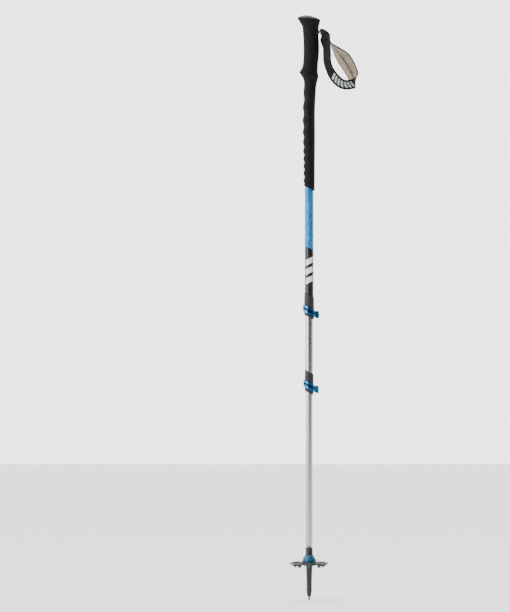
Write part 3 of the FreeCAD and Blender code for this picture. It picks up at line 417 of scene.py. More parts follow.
def drawn_tube_finish(colours):
    """Aluminium tube, drawn through a die, polished and clear anodised: bright, with hair
    lines along its length and slight rub marks round it where it slides."""
    finish, shader = new_finish("aluminium_drawn_anodised")
    lines = noise_at(finish, place_on(finish, (1, 1, 0.01)), 0.35 * MM, 3, 0.6)
    rubs = noise_at(finish, place_on(finish, (0.05, 0.05, 1)), 1.5 * MM, 3, 0.7)
    tone = mottled(finish, rubs, 0.45, 0.75, colours.tube_metal, 1, 0.93)
    rough = sums(finish, "MULTIPLY_ADD", lines, 0.05, 0.16)
    rough = sums(finish, "MULTIPLY_ADD", ranged(finish, rubs, 0.5, 0.8), 0.04, rough)
    set_inputs(finish, shader, base_color=tone, metallic=1.0, roughness=rough,
               normal=bumped(finish, lines, 0.003 * MM, 0.3))
    return finish


def steel_finish(name, hex_colour, roughness=0.3):
    """Steel, turned and zinc plated: fine rings from the tool and a slightly uneven plating."""
    finish, shader = new_finish(name)
    rings = noise_at(finish, place_on(finish, (0.1, 0.1, 1)), 0.3 * MM, 2, 0.6)
    plating = noise_at(finish, place_on(finish), 2.5 * MM, 3, 0.55)
    tone = mottled(finish, plating, 0.35, 0.7, linear(hex_colour), 0.8, 1.15)
    rough = ranged(finish, plating, 0.3, 0.7, roughness, roughness + 0.15)
    set_inputs(finish, shader, base_color=tone, metallic=1.0, roughness=rough,
               normal=bumped(finish, rings, 0.015 * MM, 0.5))
    return finish


def printed_tube_finish(colours):
    """Aluminium tube with a transfer print under clear lacquer. The upper part is a marbled
    blue of brushed patches. Below a slanted edge it is gloss black with three plain white
    slanted bars on the side that faces forward."""
    finish, shader = new_finish("lacquer_over_transfer_print")
    where = place_on(finish)
    parts = add_node(finish, "SeparateXYZ", {"Vector": where})
    x, y, z = (parts.outputs[i] for i in range(3))
    around = place_on(finish, (1, 1, 0.7))
    broad = noise_at(finish, around, 26 * MM, 2, 0.5, 1.4)
    strokes = noise_at(finish, place_on(finish, (1.3, 1.3, 0.45)), 8 * MM, 5, 0.62, 2.2)
    flecks = noise_at(finish, around, 3.5 * MM, 3, 0.6, 0.8)
    blue = colours.print_blue
    tone = mixed(finish, ranged(finish, broad, 0.36, 0.62), linear("#005A80"), blue)
    tone = mixed(finish, ranged(finish, strokes, 0.52, 0.6), tone, linear("#0080C4"))
    tone = mixed(finish, ranged(finish, strokes, 0.43, 0.35), tone, linear("#00608C"))
    tone = mixed(finish, ranged(finish, flecks, 0.62, 0.72, 0, 0.6), tone, linear("#3E9EC0"))
    slant = math.tan(math.radians(27))
    edge = sums(finish, "MULTIPLY_ADD", x, slant, z)
    black = mottled(finish, flecks, 0.45, 0.8, colours.paint_black, 1, 1.7)
    tone = mixed(finish, ranged(finish, edge, 721.8 * MM, 722.2 * MM), black, tone)
    bar_pitch, bar_height, marks_foot, bars = 19 * MM, 12 * MM, 651 * MM, 3
    rise = sums(finish, "MULTIPLY_ADD", x, -slant, z)
    along = sums(finish, "DIVIDE", sums(finish, "SUBTRACT", rise, marks_foot), bar_pitch)
    within = times(finish, sums(finish, "FRACT", along), bar_pitch)
    side = ranged(finish, sums(finish, "ABSOLUTE", x), 7 * MM, 7.15 * MM, 1, 0)
    facing = ranged(finish, y, -0.1 * MM, 0.1 * MM, 1, 0)
    bar = times(finish, ranged(finish, within, 0, 0.15 * MM),
                ranged(finish, within, bar_height, bar_height + 0.15 * MM, 1, 0),
                ranged(finish, along, 0, 0.01),
                ranged(finish, along, bars - 0.01, bars, 1, 0), side, facing)
    tone = mixed(finish, bar, tone, linear("#DADBDA"))
    orange_peel = noise_at(finish, where, 2.2 * MM, 2, 0.5)
    rough = ranged(finish, flecks, 0.3, 0.7, 0.3, 0.42)
    set_inputs(finish, shader, base_color=tone, roughness=rough,
               normal=bumped(finish, orange_peel, 0.01 * MM, 0.5), coat_weight=0.25,
               coat_roughness=0.1, specular_ior_level=0.3)
    return finish


def webbing_finish(sizes, colours, print_span):
    """Polyester webbing, woven and dyed: a twill of raised threads. A row of plain pale bars
    is printed on the outside of the loop's lower bend. UVs are metres along the strap and
    metres across it."""
    finish, shader = new_finish("polyester_webbing_woven")
    along, across = weave_place(finish)
    pitch = sizes.thread_pitch
    twill = rippled(finish, sums(finish, "ADD", along, across), pitch)
    warp = rippled(finish, across, pitch / 2)
    threads = sums(finish, "MULTIPLY_ADD", warp, 0.5, twill)
    fuzz = noise_at(finish, place_on(finish), 1.1 * MM, 3, 0.6)
    shine = noise_at(finish, place_on(finish), 11 * MM, 2, 0.5)
    lit = mixed(finish, ranged(finish, shine, 0.45, 0.7), shade(colours.webbing, 1.7),
                linear("#14241D"))
    tone = mixed(finish, ranged(finish, threads, -1.2, 1.2), shade(colours.webbing, 0.55), lit)
    start, length = print_span[0], print_span[1] - print_span[0]
    reach = sums(finish, "SUBTRACT", along, start)
    lean = sums(finish, "MULTIPLY_ADD", across, 0.55, reach)
    bars = sums(finish, "FRACT", sums(finish, "DIVIDE", lean, PRINT_PITCH))
    off_middle = sums(finish, "ABSOLUTE", sums(finish, "SUBTRACT", bars, 0.5))
    bars = ranged(finish, off_middle, 0.3, 0.33, 1, 0)
    whole = math.floor(length / PRINT_PITCH) * PRINT_PITCH
    middle = ranged(finish, sums(finish, "ABSOLUTE", across), 5.6 * MM, 6 * MM, 1, 0)
    outer = add_node(finish, "Attribute", attribute_name="outside").outputs["Fac"]
    ink = times(finish, bars, ranged(finish, lean, 0, 0.1 * MM),
                ranged(finish, lean, whole - 0.1 * MM, whole, 1, 0), middle,
                ranged(finish, fuzz, 0.25, 0.5, 0.55, 0.95), outer)
    tone = mixed(finish, ink, tone, linear("#A9B2B0"))
    height = sums(finish, "MULTIPLY_ADD", fuzz, 0.5, threads)
    set_inputs(finish, shader, base_color=tone, roughness=0.72,
               normal=bumped(finish, height, 0.12 * MM, 0.7), specular_ior_level=0.18,
               sheen_weight=0.03, sheen_roughness=0.4)
    return finish


def lining_finish(colours, span):
    """Polyester tricot knit, brushed, laminated to thin foam: warm beige, soft sheen, with
    fine ribs and slight shading from handling. UVs are metres along and across the pad."""
    finish, shader = new_finish("tricot_knit_brushed")
    along, across = weave_place(finish)
    pitch = 1.5 * MM
    ribs = rippled(finish, across, pitch)
    loops = rippled(finish, sums(finish, "MULTIPLY_ADD", across, 0.5, along), pitch)
    knit = sums(finish, "MULTIPLY_ADD", loops, 0.6, ribs)
    nap = noise_at(finish, place_on(finish), 1.4 * MM, 4, 0.65)
    shading = noise_at(finish, place_on(finish), 12 * MM, 3, 0.5)
    base = colours.lining
    tone = mottled(finish, shading, 0.35, 0.65, base, 0.9, 1.1)
    tone = mixed(finish, ranged(finish, nap, 0.35, 0.7, 0, 0.3), tone, shade(base, 0.7))
    warm = ranged(finish, along, 0.45 * span[0] + 0.55 * span[1], span[1])
    tone = mixed(finish, times(finish, warm, 0.55), tone, linear("#8A6749"))
    tone = mixed(finish, ranged(finish, knit, 0.2, 1.6, 0, 0.25), tone, shade(base, 1.5))
    height = sums(finish, "MULTIPLY_ADD", knit, 0.5, nap)
    set_inputs(finish, shader, base_color=tone, roughness=0.85,
               normal=bumped(finish, height, 0.12 * MM, 0.7), sheen_weight=0.25,
               sheen_roughness=0.5)
    return finish


def tape_finish(name, hex_colour):
    """Grosgrain tape, woven: fine ribs across it, matt."""
    finish, shader = new_finish(name)
    ribs = noise_at(finish, place_on(finish), 0.8 * MM, 2, 0.7)
    set_inputs(finish, shader,
               base_color=mottled(finish, ribs, 0.35, 0.65, linear(hex_colour), 0.6, 1.4),
               roughness=0.8, normal=bumped(finish, ribs, 0.15 * MM, 0.8), sheen_weight=0.1)
    return finish


# ---------------------------------------------------------------- grip

# Outline of the foam seen from the side: height and distance from the axis, in millimetres,
# towards the front and towards the rear.
FRONT_EDGE = [(840, 11.6), (870, 11.8), (1042, 11.8), (1059, 10.6), (1067, 11.5), (1071, 13.0),
              (1075, 15.4), (1079.5, 18.4), (1082.5, 20.4), (1085.5, 18.4), (1088.5, 16.5),
              (1092, 14.7), (1096, 13.4), (1104, 12.4), (1116, 11.7), (1130, 11.4), (1145, 11.8),
              (1157, 12.5), (1169, 13.2), (1175, 13.9), (1179, 15.3), (1184, 18.4),
              (1189, 21.6), (1193.4, 24.4)]
REAR_EDGE = [(828, 11.4), (869, 11.7), (950, 12.2), (1024, 12.8), (1040, 13.8), (1055, 14.8),
             (1062, 16.2), (1068, 17.7), (1074.2, 19.2), (1080, 18.2), (1096, 18.0), (1108, 19.1),
             (1122, 20.3), (1142, 20.4), (1157, 19.5), (1172, 19.7), (1180, 20.7), (1185, 22.1),
             (1189.4, 23.1)]
FLATTER = [(828, 0.3), (1059, 0.6), (1074, 2.6), (1082, 3.0), (1092, 1.5), (1136, 1.7),
           (1168, 1.9), (1179, 2.8), (1193.4, 5.0)]
LEDGE, RIM, FOOT = 1082.5, 1193.3, 850.4
LEDGE_FALL, RIM_FALL, FOOT_FALL = (math.tan(math.radians(a)) for a in (13, 4.9, 26.7))
SCALLOP_START, SCALLOP_COUNT = 1042.5, 10
SCALLOP_PITCH, SCALLOP_RATIO, SCALLOP_LEAST = 31.6, 0.87, 14.7
# Heights between which each slant eases in, the usual reach of the rear edge and the sleeve's
# mean radius.
LEDGE_EASE_TOP, LEDGE_EASE_FOOT, RIM_EASE_FOOT, FOOT_EASE = 1114, 1056, 1166, 26
REAR_REACH, SLEEVE_RADIUS = 18, 12
# Gap left at a seam, points round the grip, and the hole for the upper tube: its radius, how
# far it is cut past a slanted end and its top in the head foam.
SEAM, ROUND_GRIP = 0.02, 128
TUBE_BORE, BORE_SPARE, HEAD_BORE_TOP = 9.02, 40, 1150.5
# Slot for the webbing: half its width and half its height, and how far out it is cut.
SLOT_HALF_WIDTH, SLOT_HALF_HEIGHT, SLOT_FROM, SLOT_TO = 10.15, 1.75, 8, 30


def rounded_end(height, radius, rising):
    """Rows that close an end: the pole, half way out, then a quarter circle to the flank.
    Gives each row's height, how far it is inset and its share of the full size."""
    bend = np.linspace(0, np.pi / 2, 6)[:-1]
    heights = np.concatenate([[height, height], height + rising * radius * (1 - np.cos(bend))])
    inset = np.concatenate([[radius, radius], radius * (1 - np.sin(bend))])
    return heights, inset, np.concatenate([[0, 0.5], np.ones(5)])


def foam_skin(name, low, high, low_radius, high_radius, falls, step, waves=None):
    """A closed skin of tilted ovals up the pole. Its edge seen from the side follows
    FRONT_EDGE and REAR_EDGE, each row falls towards the rear by the sum of the falls that hold
    at its height, and both ends are closed with a rounded edge."""
    body = np.arange(low + low_radius, high - high_radius, step)
    foot_z, foot_inset, foot_share = rounded_end(low, low_radius, 1)
    head_z, head_inset, head_share = rounded_end(high, high_radius, -1)
    heights = np.concatenate([foot_z, body, head_z[::-1]])
    inset = np.concatenate([foot_inset, 0 * body, head_inset[::-1]])
    share = np.concatenate([foot_share, 0 * body + 1, head_share[::-1]])
    fall = sum(f(heights) for f in falls)
    front = curve_through(*np.array(FRONT_EDGE).T, heights)
    rear = curve_through(*np.array(REAR_EDGE).T, heights - fall * (front + REAR_REACH))
    flatter = curve_through(*np.array(FLATTER).T, heights)
    side = (front + rear) / 2 - flatter
    reach = front[:, None]
    angle = ring(ROUND_GRIP)
    front, rear, side = ((share * (a - inset))[:, None] for a in (front, rear, side))
    wide = np.cos(angle)
    x = (rear - front) / 2 + (rear + front) / 2 * wide
    y = side * np.sin(angle)
    if waves is not None:
        depth = (waves(heights) * share)[:, None] * smoothstep(0.05, 0.75, -wide)
        x, y = x * (1 - depth / SLEEVE_RADIUS), y * (1 - 0.6 * depth / SLEEVE_RADIUS)
    z = heights[:, None] - fall[:, None] * (x + reach)
    return surface(name, np.stack([x, y, z], axis=-1) * MM, wrap=True)


def scallops(depth):
    """Hollows between crests that close up downwards: a raised cosine between each two."""
    crests = [SCALLOP_START]
    for k in range(SCALLOP_COUNT):
        crests.append(crests[-1] - max(SCALLOP_PITCH * SCALLOP_RATIO ** k, SCALLOP_LEAST))
    crests = np.array(crests[::-1])

    def inset(heights):
        phase = np.interp(heights, crests, np.arange(len(crests)))
        wave = (1 - np.cos(2 * np.pi * phase)) / 2
        return depth * wave * smoothstep(FOOT - 4, FOOT + 6, heights)
    return inset


def cut_out(piece, cutter):
    """Takes the cutter's volume out of the piece and removes the cutter."""
    cut = piece.modifiers.new("cut", "BOOLEAN")
    cut.object, cut.operation, cut.solver = cutter, "DIFFERENCE", "EXACT"
    graph = bpy.context.evaluated_depsgraph_get()
    mesh = bpy.data.meshes.new_from_object(piece.evaluated_get(graph))
    piece.modifiers.clear()
    piece.data = mesh
    bpy.data.objects.remove(cutter)


def settle(piece, body, slot, finish, *nodes):
    """A finished piece: its body, its record slot, which is not used, its material and what it stands for.
    """
    if body:
        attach(piece, body)
    piece.data.materials.clear()
    piece.data.materials.append(finish)
    if nodes:
        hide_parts(*nodes)


def bore_out(piece, low, high):
    """Bores the round hole for the upper tube: a circle swept between two heights."""
    angle = ring(96)
    radius = np.array([0, 1, 1, 0])[:, None] * TUBE_BORE
    z = np.array([low, low, high, high])[:, None] + 0 * angle
    grid = np.stack([radius * np.cos(angle), radius * np.sin(angle), z], axis=-1) * MM
    cut_out(piece, surface("bore_cutter", grid, wrap=True))


class POLE_OT_head_foam(Operator):
    """Add the foam head of the grip, with the strap's slot in its rear"""

    bl_idname = "pole.head_foam"
    bl_label = "Head foam"

    def execute(self, context):
        falls = (lambda h: LEDGE_FALL * smoothstep(LEDGE_EASE_TOP, LEDGE, h),
                 lambda h: RIM_FALL * smoothstep(RIM_EASE_FOOT, RIM, h))
        piece = foam_skin("head_foam", LEDGE + SEAM, RIM - SEAM, 0.35, 0.4, falls, 1.2)
        low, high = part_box("strap_root")
        middle = (low[2] + high[2]) / 2
        u = np.linspace(0, 2 * np.pi, 40, endpoint=False)
        y = SLOT_HALF_WIDTH * MM * np.sign(np.cos(u)) * np.abs(np.cos(u)) ** 0.25
        z = middle + SLOT_HALF_HEIGHT * MM * np.sign(np.sin(u)) * np.abs(np.sin(u)) ** 0.6
        x = np.array([SLOT_FROM, SLOT_FROM, SLOT_TO, SLOT_TO]) * MM
        grid = np.stack([np.broadcast_to(x[:, None], (4, 40)), np.broadcast_to(y, (4, 40)),
                         np.broadcast_to(z, (4, 40))], axis=-1).copy()
        grid[0, :, 1:] = grid[3, :, 1:] = (0, middle)
        cut_out(piece, surface("slot_cutter", grid, wrap=True))
        bore_out(piece, LEDGE - BORE_SPARE, HEAD_BORE_TOP)
        colours, sizes = context.scene.pole_colours, context.scene.pole_sizes
        settle(piece, "upper", "grip_foam", foam_finish(sizes, colours), "grip_foam")
        return {"FINISHED"}


class POLE_OT_sleeve_foam(Operator):
    """Add the scalloped foam sleeve below the grip's ledge"""

    bl_idname = "pole.sleeve_foam"
    bl_label = "Sleeve foam"

    def execute(self, context):
        sizes = context.scene.pole_sizes
        falls = (lambda h: LEDGE_FALL * smoothstep(LEDGE_EASE_FOOT, LEDGE, h),
                 lambda h: FOOT_FALL * smoothstep(FOOT + FOOT_EASE, FOOT, h))
        piece = foam_skin("sleeve_foam", FOOT, LEDGE - SEAM, 0.8, 0.35, falls, 1.0,
                          scallops(sizes.scallop_depth / MM))
        bore_out(piece, FOOT - BORE_SPARE, LEDGE + BORE_SPARE)
        finish = bpy.data.materials["eva_foam_moulded"]
        settle(piece, "upper", "grip_foam", finish, "grip_sleeve")
        return {"FINISHED"}


class POLE_OT_cap(Operator):
    """Add the domed rubber cap of the grip"""

    bl_idname = "pole.cap"
    bl_label = "Grip cap"

    def execute(self, context):
        front, rear, side, edge = 24.6, 23.2, 18.7, 0.4
        middle, crown = (rear - front) / 2, -3.7
        bend = np.linspace(0, np.pi / 2, 7)
        dome = np.sin(np.linspace(np.pi / 2, 0, 44))[1:]
        foot_rows = 2 + len(bend)
        share = np.concatenate([[0, 0.5], np.ones(len(bend)), dome])[:, None]
        inset = np.concatenate([[edge, edge], edge * (1 - np.sin(bend)), 0 * dome])[:, None]
        flat = np.concatenate([[0, 0], edge * (1 - np.cos(bend)), 0 * dome + edge])[:, None]
        rise = curve_through([0, 0.2, 0.5, 0.8, 0.94, 1], [7.6, 7.3, 5.7, 3.3, 1.6, 0],
                             share[:, 0])
        rise = np.where(np.arange(len(share)) < foot_rows, 0, rise)[:, None]
        centre = middle + (1 - share) * (crown - middle)
        centre[:foot_rows] = middle
        angle = ring(ROUND_GRIP)
        x = centre + share * ((front + rear) / 2 - inset) * np.cos(angle)
        y = share * (side - inset) * np.sin(angle)
        z = RIM + SEAM + flat + rise - RIM_FALL * (x + front)
        piece = surface("grip_cap_dome", np.stack([x, y, z], axis=-1) * MM, wrap=True)
        settle(piece, "upper", "cap_rubber", rubber_finish(context.scene.pole_colours),
               "grip_cap")
        return {"FINISHED"}


# ---------------------------------------------------------------- wrist strap

# Stations of the strap, in millimetres from its pivot behind the slot: its place, the
# direction across it and how much of the way from webbing to pad its width has gone.
STRAP = [
    (-12, 0, 0.83, 0, 20, 0, 0), (-6, 0, 0.83, 0, 20, 0, 0),
    (-2.6, 0, 0.83, 0, 20, 0, 0), (3.6, 0.8, 1.4, 1, 14, 12.5, 0), (14, 4, -6.4, 7.5, 12.5, 11, 0),
    (21.1, 8, -18, 2, 19.5, 2, 0.08), (28.4, 12, -26.8, -5, 23, -3, 0.25),
    (35.7, 16, -34.6, -11.7, 26, -5.9, 0.6), (41.9, 19.5, -42, -17.5, 25.4, -11.7, 0.87),
    (48.9, 22, -51.5, -21.5, 23.2, -15, 1), (56.4, 22.5, -63, -22, 22.7, -15, 1),
    (62.9, 21, -74.5, -19.5, 20, -14.3, 0.85), (68.1, 17, -85.8, -14.4, 12, -12, 0.6),
    (71.2, 9, -95.5, -8, 8, -14, 0.35), (72, -0.5, -102, -1, 3, -17.6, 0.15),
    (69, -9, -105.5, 1, 1, -18.8, 0.05), (62.3, -13.5, -107.7, 1.4, 0, -18.8, 0),
    (55, -15.5, -108.6, -2.6, 1, -17.5, 0), (47, -17, -107.8, -5.2, 2, -17.5, 0),
    (38, -18, -103, -7.8, 4, -18.2, 0), (27.5, -19, -92, -11.7, 7, -16.3, 0),
    (18.5, -19, -76, -13, 12, -9, 0), (14.3, -18.5, -60.8, -15.3, 12.6, -2.6, 0),
    (13.5, -17, -44.5, -15.9, 11.6, -1, 0), (13, -14, -30.5, -15, 12.6, -1, 0),
    (10.4, -9.5, -21, -15, 12, 4, 0), (6.4, -5, -12, -13.5, 12, 7, 0),
    (1.6, -1.6, -4, -8, 15, 10, 0), (-2.6, 0, -0.83, 0, 20, 0, 0),
    (-6, 0, -0.83, 0, 20, 0, 0), (-12, 0, -0.83, 0, 20, 0, 0),
]
STRAP_PIVOT = np.array([22.7, 0, 1164.5])
LINING_STATIONS = (5.2, 14.3)
PRINT_STATIONS = (15.2, 20.6)
PRINT_PITCH = 7.5 * MM


def strap_route(sizes, at):
    """The strap at places counted in stations: its middle line, the directions along it,
    across it and outwards, its half width and the length travelled, in metres."""
    stations = np.array(STRAP, float)
    knots = np.arange(len(stations), dtype=float)

    def line(places):
        return curve_through(knots, stations, np.clip(places, 0, knots[-1]))
    fine = np.linspace(0, knots[-1], 4000)
    steps = np.linalg.norm(np.diff(line(fine)[:, :3], axis=0), axis=1) * MM
    travelled = np.concatenate([[0], np.cumsum(steps)])
    here = line(at)
    along = line(at + 0.01)[:, :3] - line(at - 0.01)[:, :3]
    along /= np.linalg.norm(along, axis=1, keepdims=True)
    across = here[:, 3:6] - along * np.sum(here[:, 3:6] * along, axis=1, keepdims=True)
    across /= np.linalg.norm(across, axis=1, keepdims=True)
    share = np.clip(here[:, 6], 0, 1)
    width = sizes.webbing_width + (sizes.pad_width - sizes.webbing_width) * share
    return {"at": at, "centre": (here[:, :3] + STRAP_PIVOT) * MM, "along": along,
            "across": across, "out": np.cross(along, across), "half": width / 2,
            "length": np.interp(at, fine, travelled)}


def closed_band(name, route, side, lift, marks=None):
    """A band from its section: side is each point's place across, lift its place outwards, both
    rows by columns in metres. The first and last rows are drawn in to poles. UVs are the
    metres along and across."""
    rows = np.concatenate([[0], np.arange(len(side)), [len(side) - 1]])
    shrink = np.concatenate([[0], np.ones(len(side)), [0]])[:, None, None]
    side, lift = side[rows], lift[rows]
    offset = (side[..., None] * route["across"][rows][:, None, :]
              + lift[..., None] * route["out"][rows][:, None, :])
    grid = route["centre"][rows][:, None, :] + shrink * offset
    v = np.concatenate([side, side[:, :1]], axis=1)
    u = np.broadcast_to(route["length"][rows][:, None], v.shape)
    marks = {mark: values[rows] for mark, values in (marks or {}).items()}
    return surface(name, grid, wrap=True, uv=np.stack([u, v], axis=-1), marks=marks)


def across_band(count):
    """Columns from one edge to the other, closer together near the edges."""
    return np.sin(np.linspace(-np.pi / 2, np.pi / 2, count))


class POLE_OT_strap(Operator):
    """Add the strap's webbing as one woven band, from inside the slot round to the slot"""

    bl_idname = "pole.strap"
    bl_label = "Strap webbing"

    def execute(self, context):
        sizes, colours = context.scene.pole_sizes, context.scene.pole_colours
        route = strap_route(sizes, np.linspace(0, len(STRAP) - 1, 24 * (len(STRAP) - 1) + 1))
        flat, edge = np.linspace(-1, 1, 13)[None, :], sizes.webbing_thickness / 2
        bend = np.linspace(np.pi / 2, -np.pi / 2, 7)[None, 1:-1]
        half = route["half"][:, None] - edge
        side = np.concatenate([half * flat, half + edge * np.cos(bend), -half * flat,
                               -half - edge * np.cos(bend)], axis=1)
        lift = np.concatenate([0 * flat + edge, edge * np.sin(bend), 0 * flat - edge,
                               -edge * np.sin(bend)], axis=1)
        lift = np.broadcast_to(lift, side.shape)
        piece = closed_band("wrist_webbing", route, side, lift, {"outside": lift > 0})
        print_span = strap_route(sizes, np.array(PRINT_STATIONS))["length"]
        settle(piece, None, "webbing", webbing_finish(sizes, colours, print_span),
               "strap_webbing", "strap_root")
        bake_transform(piece, "upper", "strap", start=(0.0195, 0, 1.1645), end=(0.0275, 0, 1.1625))
        return {"FINISHED"}


class POLE_OT_lining(Operator):
    """Add the strap's padded lining, its centre seam and the bound edges"""

    bl_idname = "pole.lining"
    bl_label = "Strap lining"

    def execute(self, context):
        sizes, colours = context.scene.pole_sizes, context.scene.pole_colours
        first, last = LINING_STATIONS
        route = strap_route(sizes, np.linspace(first, last, 150))
        share = (route["at"] - first) / (last - first)
        end = np.sqrt(np.clip(np.minimum(share, 1 - share) / 0.06, 0, 1))[:, None]
        flat = across_band(33)[None, :]
        half = (route["half"][:, None] - sizes.lining_inset) * (0.55 + 0.45 * end)
        puckers = 0.16 * np.sin(route["length"] / (1.9 * MM))[:, None] * (flat * flat)
        crown = sizes.lining_crown * end * (1 - np.abs(flat) ** 5)
        groove = 1 - 0.72 * np.exp(-(flat / 0.07) ** 2)
        back = sizes.webbing_thickness / 2 - 0.1 * MM
        inner = -back - crown * groove * (1 + puckers)
        side = np.concatenate([half * flat, (half * flat)[:, ::-1][:, 1:-1]], axis=1)
        lift = np.concatenate([inner, np.full_like(inner, -back)[:, 1:-1]], axis=1)
        piece = closed_band("wrist_lining", route, side, lift)
        ends = (route["length"][0], route["length"][-1])
        settle(piece, "strap", "lining", lining_finish(colours, ends), "strap_lining")
        self.add_seam(sizes, first, last)
        self.add_bindings(sizes, first, last)
        return {"FINISHED"}

    def add_seam(self, sizes, first, last):
        """A narrow tape down the middle of the lining with a row of stitches on each side."""
        route = strap_route(sizes, np.linspace(first + 0.25, last - 0.2, 150))
        turn = ring(12)
        level = sizes.webbing_thickness / 2 + 0.62 * sizes.lining_crown
        side = 0.9 * MM * np.cos(turn) + 0 * route["half"][:, None]
        lift = -level + 0.45 * MM * np.sin(turn) + 0 * side
        tape = closed_band("lining_seam", route, side, lift)
        settle(tape, "strap", "lining", tape_finish("seam_tape_woven", "#6A4F3A"))
        stitches = strap_route(sizes, np.linspace(first + 0.4, last - 0.4, 72))
        for place, name in ((-1.7, "stitches_left"), (1.7, "stitches_right")):
            centre = (stitches["centre"] + place * MM * stitches["across"]
                      - (level + 0.62 * MM) * stitches["out"])
            row = beads(name, centre, stitches, (1.15, 0.3, 0.28))
            settle(row, "strap", "lining", tape_finish(f"thread_{name}", "#5A4634"))

    def add_bindings(self, sizes, first, last):
        """A rounded tape folded over each long edge of the pad."""
        route = strap_route(sizes, np.linspace(first + 0.1, last - 0.1, 150))
        turn = ring(16)
        finish = tape_finish("binding_tape_woven", "#171516")
        taper = smoothstep(0, 12 * MM, np.minimum(route["length"] - route["length"][0],
                                                  route["length"][-1] - route["length"]))
        size = (0.35 + 0.65 * taper)[:, None]
        for sign, name in ((-1, "binding_left"), (1, "binding_right")):
            middle = sign * (route["half"][:, None] - 0.6 * MM)
            side = middle + 1.05 * MM * size * np.cos(turn)
            lift = -0.55 * MM + 1.55 * MM * size * np.sin(turn)
            settle(closed_band(name, route, side, lift), "strap", "lining", finish)


def beads(name, centres, route, radii):
    """One mesh of small ellipsoids with those radii, in millimetres, along, across and
    outwards: every centre plus the same unit sphere stretched in the route's directions."""
    rows, columns = 6, 8
    around = np.linspace(0, 2 * np.pi, columns, endpoint=False)
    down = np.linspace(0, np.pi, rows)[:, None]
    ball = np.stack([np.sin(down) * np.cos(around), np.sin(down) * np.sin(around),
                     np.cos(down) + 0 * around], axis=-1).reshape(-1, 3)
    frames = np.stack([route["along"], route["across"], route["out"]], axis=1)
    points = centres[:, None, :] + np.einsum("pk,nkc->npc", ball * np.array(radii) * MM, frames)
    left = np.arange(len(ball)).reshape(rows, columns)
    right = np.roll(left, -1, axis=1)
    quads = np.stack([left[:-1], right[:-1], right[1:], left[1:]], axis=-1).reshape(-1, 4)
    faces = (quads[None] + len(ball) * np.arange(len(centres))[:, None, None]).reshape(-1, 4)
    mesh = bpy.data.meshes.new(name)
    mesh.from_pydata(points.reshape(-1, 3), [], faces)
    closed_up(mesh)
    return linked(name, mesh)


# ---------------------------------------------------------------- hard pieces

BODY_OF = {node: body for body, nodes in frame["record"]["behaviour"]["bodies"].items()
           for node in nodes}
SLOT_OF = {part["node"]: part["material_slot"] for part in frame["record"]["subparts"]}
# Distance from the axis to each lever's outer face.
LEVER_OUTSIDE = {"upper": 13.5 * MM, "lower": 12.4 * MM}


def finish_nodes(nodes, finish, edge=0.0):
    """The nodes get one finish. With an edge radius each is replaced by a rounded copy."""
    for node in nodes:
        if edge:
            settle(softened(node, edge), BODY_OF[node], SLOT_OF[node], finish)
        else:
            slots = frame["nodes"][node].data.materials
            slots.clear()
            slots.append(finish)


class POLE_OT_levers(Operator):
    """Add the two cam levers with rounded edges, anodised blue"""

    bl_idname = "pole.levers"
    bl_label = "Cam levers"

    def execute(self, context):
        sizes, colours = context.scene.pole_sizes, context.scene.pole_colours
        for side, outside in LEVER_OUTSIDE.items():
            finish = anodised_finish(f"aluminium_forged_anodised_{side}", colours.lever, outside)
            finish_nodes([f"{side}_lever"], finish, sizes.lever_bevel)
        return {"FINISHED"}


class POLE_OT_clamps(Operator):
    """Add the moulded clamps with softened edges, and the screws that draw them tight"""

    bl_idname = "pole.clamps"
    bl_label = "Clamps and screws"

    def execute(self, context):
        sizes, colours = context.scene.pole_sizes, context.scene.pole_colours
        nylon = nylon_finish("nylon_glass_filled_clamp", colours.clamp, 0.5)
        finish_nodes(["upper_clamp", "lower_clamp"], nylon, sizes.moulded_bevel)
        steel = steel_finish("steel_turned_zinc_plated", "#A7A9AC")
        finish_nodes([f"{side}_{part}" for side in ("upper", "lower")
                      for part in ("barrel", "screw", "nut", "washer")], steel)
        return {"FINISHED"}


class POLE_OT_tubes(Operator):
    """Give the printed upper tube and the bare drawn tubes their finishes"""

    bl_idname = "pole.tubes"
    bl_label = "Tubes"

    def execute(self, context):
        colours = context.scene.pole_colours
        finish_nodes(["upper_tube"], printed_tube_finish(colours))
        finish_nodes(["middle_tube", "lower_tube"], drawn_tube_finish(colours))
        return {"FINISHED"}


class POLE_OT_inner(Operator):
    """Give the inner mouldings of the grip and the tube guides their finishes"""

    bl_idname = "pole.inner"
    bl_label = "Inner pieces"

    def execute(self, context):
        nylon = nylon_finish("nylon_unfilled_core", linear("#26272A"), 0.5)
        finish_nodes(["grip_core", "strap_wedge", "middle_guide", "lower_guide"], nylon)
        finish_nodes(["strap_pin"], bpy.data.materials["steel_turned_zinc_plated"])
        return {"FINISHED"}


class POLE_OT_foot(Operator):
    """Add the ferrule, the basket and its threaded hub, and finish the carbide tip"""

    bl_idname = "pole.foot"
    bl_label = "Ferrule, basket and tip"

    def execute(self, context):
        sizes, colours = context.scene.pole_sizes, context.scene.pole_colours
        ferrule = nylon_finish("nylon_glass_filled_ferrule", colours.ferrule, 0.42)
        finish_nodes(["ferrule"], ferrule, sizes.moulded_bevel)
        hub = nylon_finish("nylon_pigmented_hub", colours.hub, 0.4)
        finish_nodes(["basket_hub"], hub, sizes.moulded_bevel)
        disc = nylon_finish("polyurethane_moulded_disc", colours.disc, 0.4, 0.8 * MM)
        finish_nodes(["basket_disc"], disc, sizes.moulded_bevel)
        finish_nodes(["tip_holder"], steel_finish("steel_turned_holder", "#8C8E90", 0.34))
        finish_nodes(["carbide_tip"], steel_finish("tungsten_carbide_sintered", "#6F7073", 0.4))
        return {"FINISHED"}


# ---------------------------------------------------------------- stage

# The surroundings are a bright tent, dim towards one side of the camera.
DIM_SIDE, BRIGHT, DIM = (0.72, -0.69, 0), 3.4, 0.1


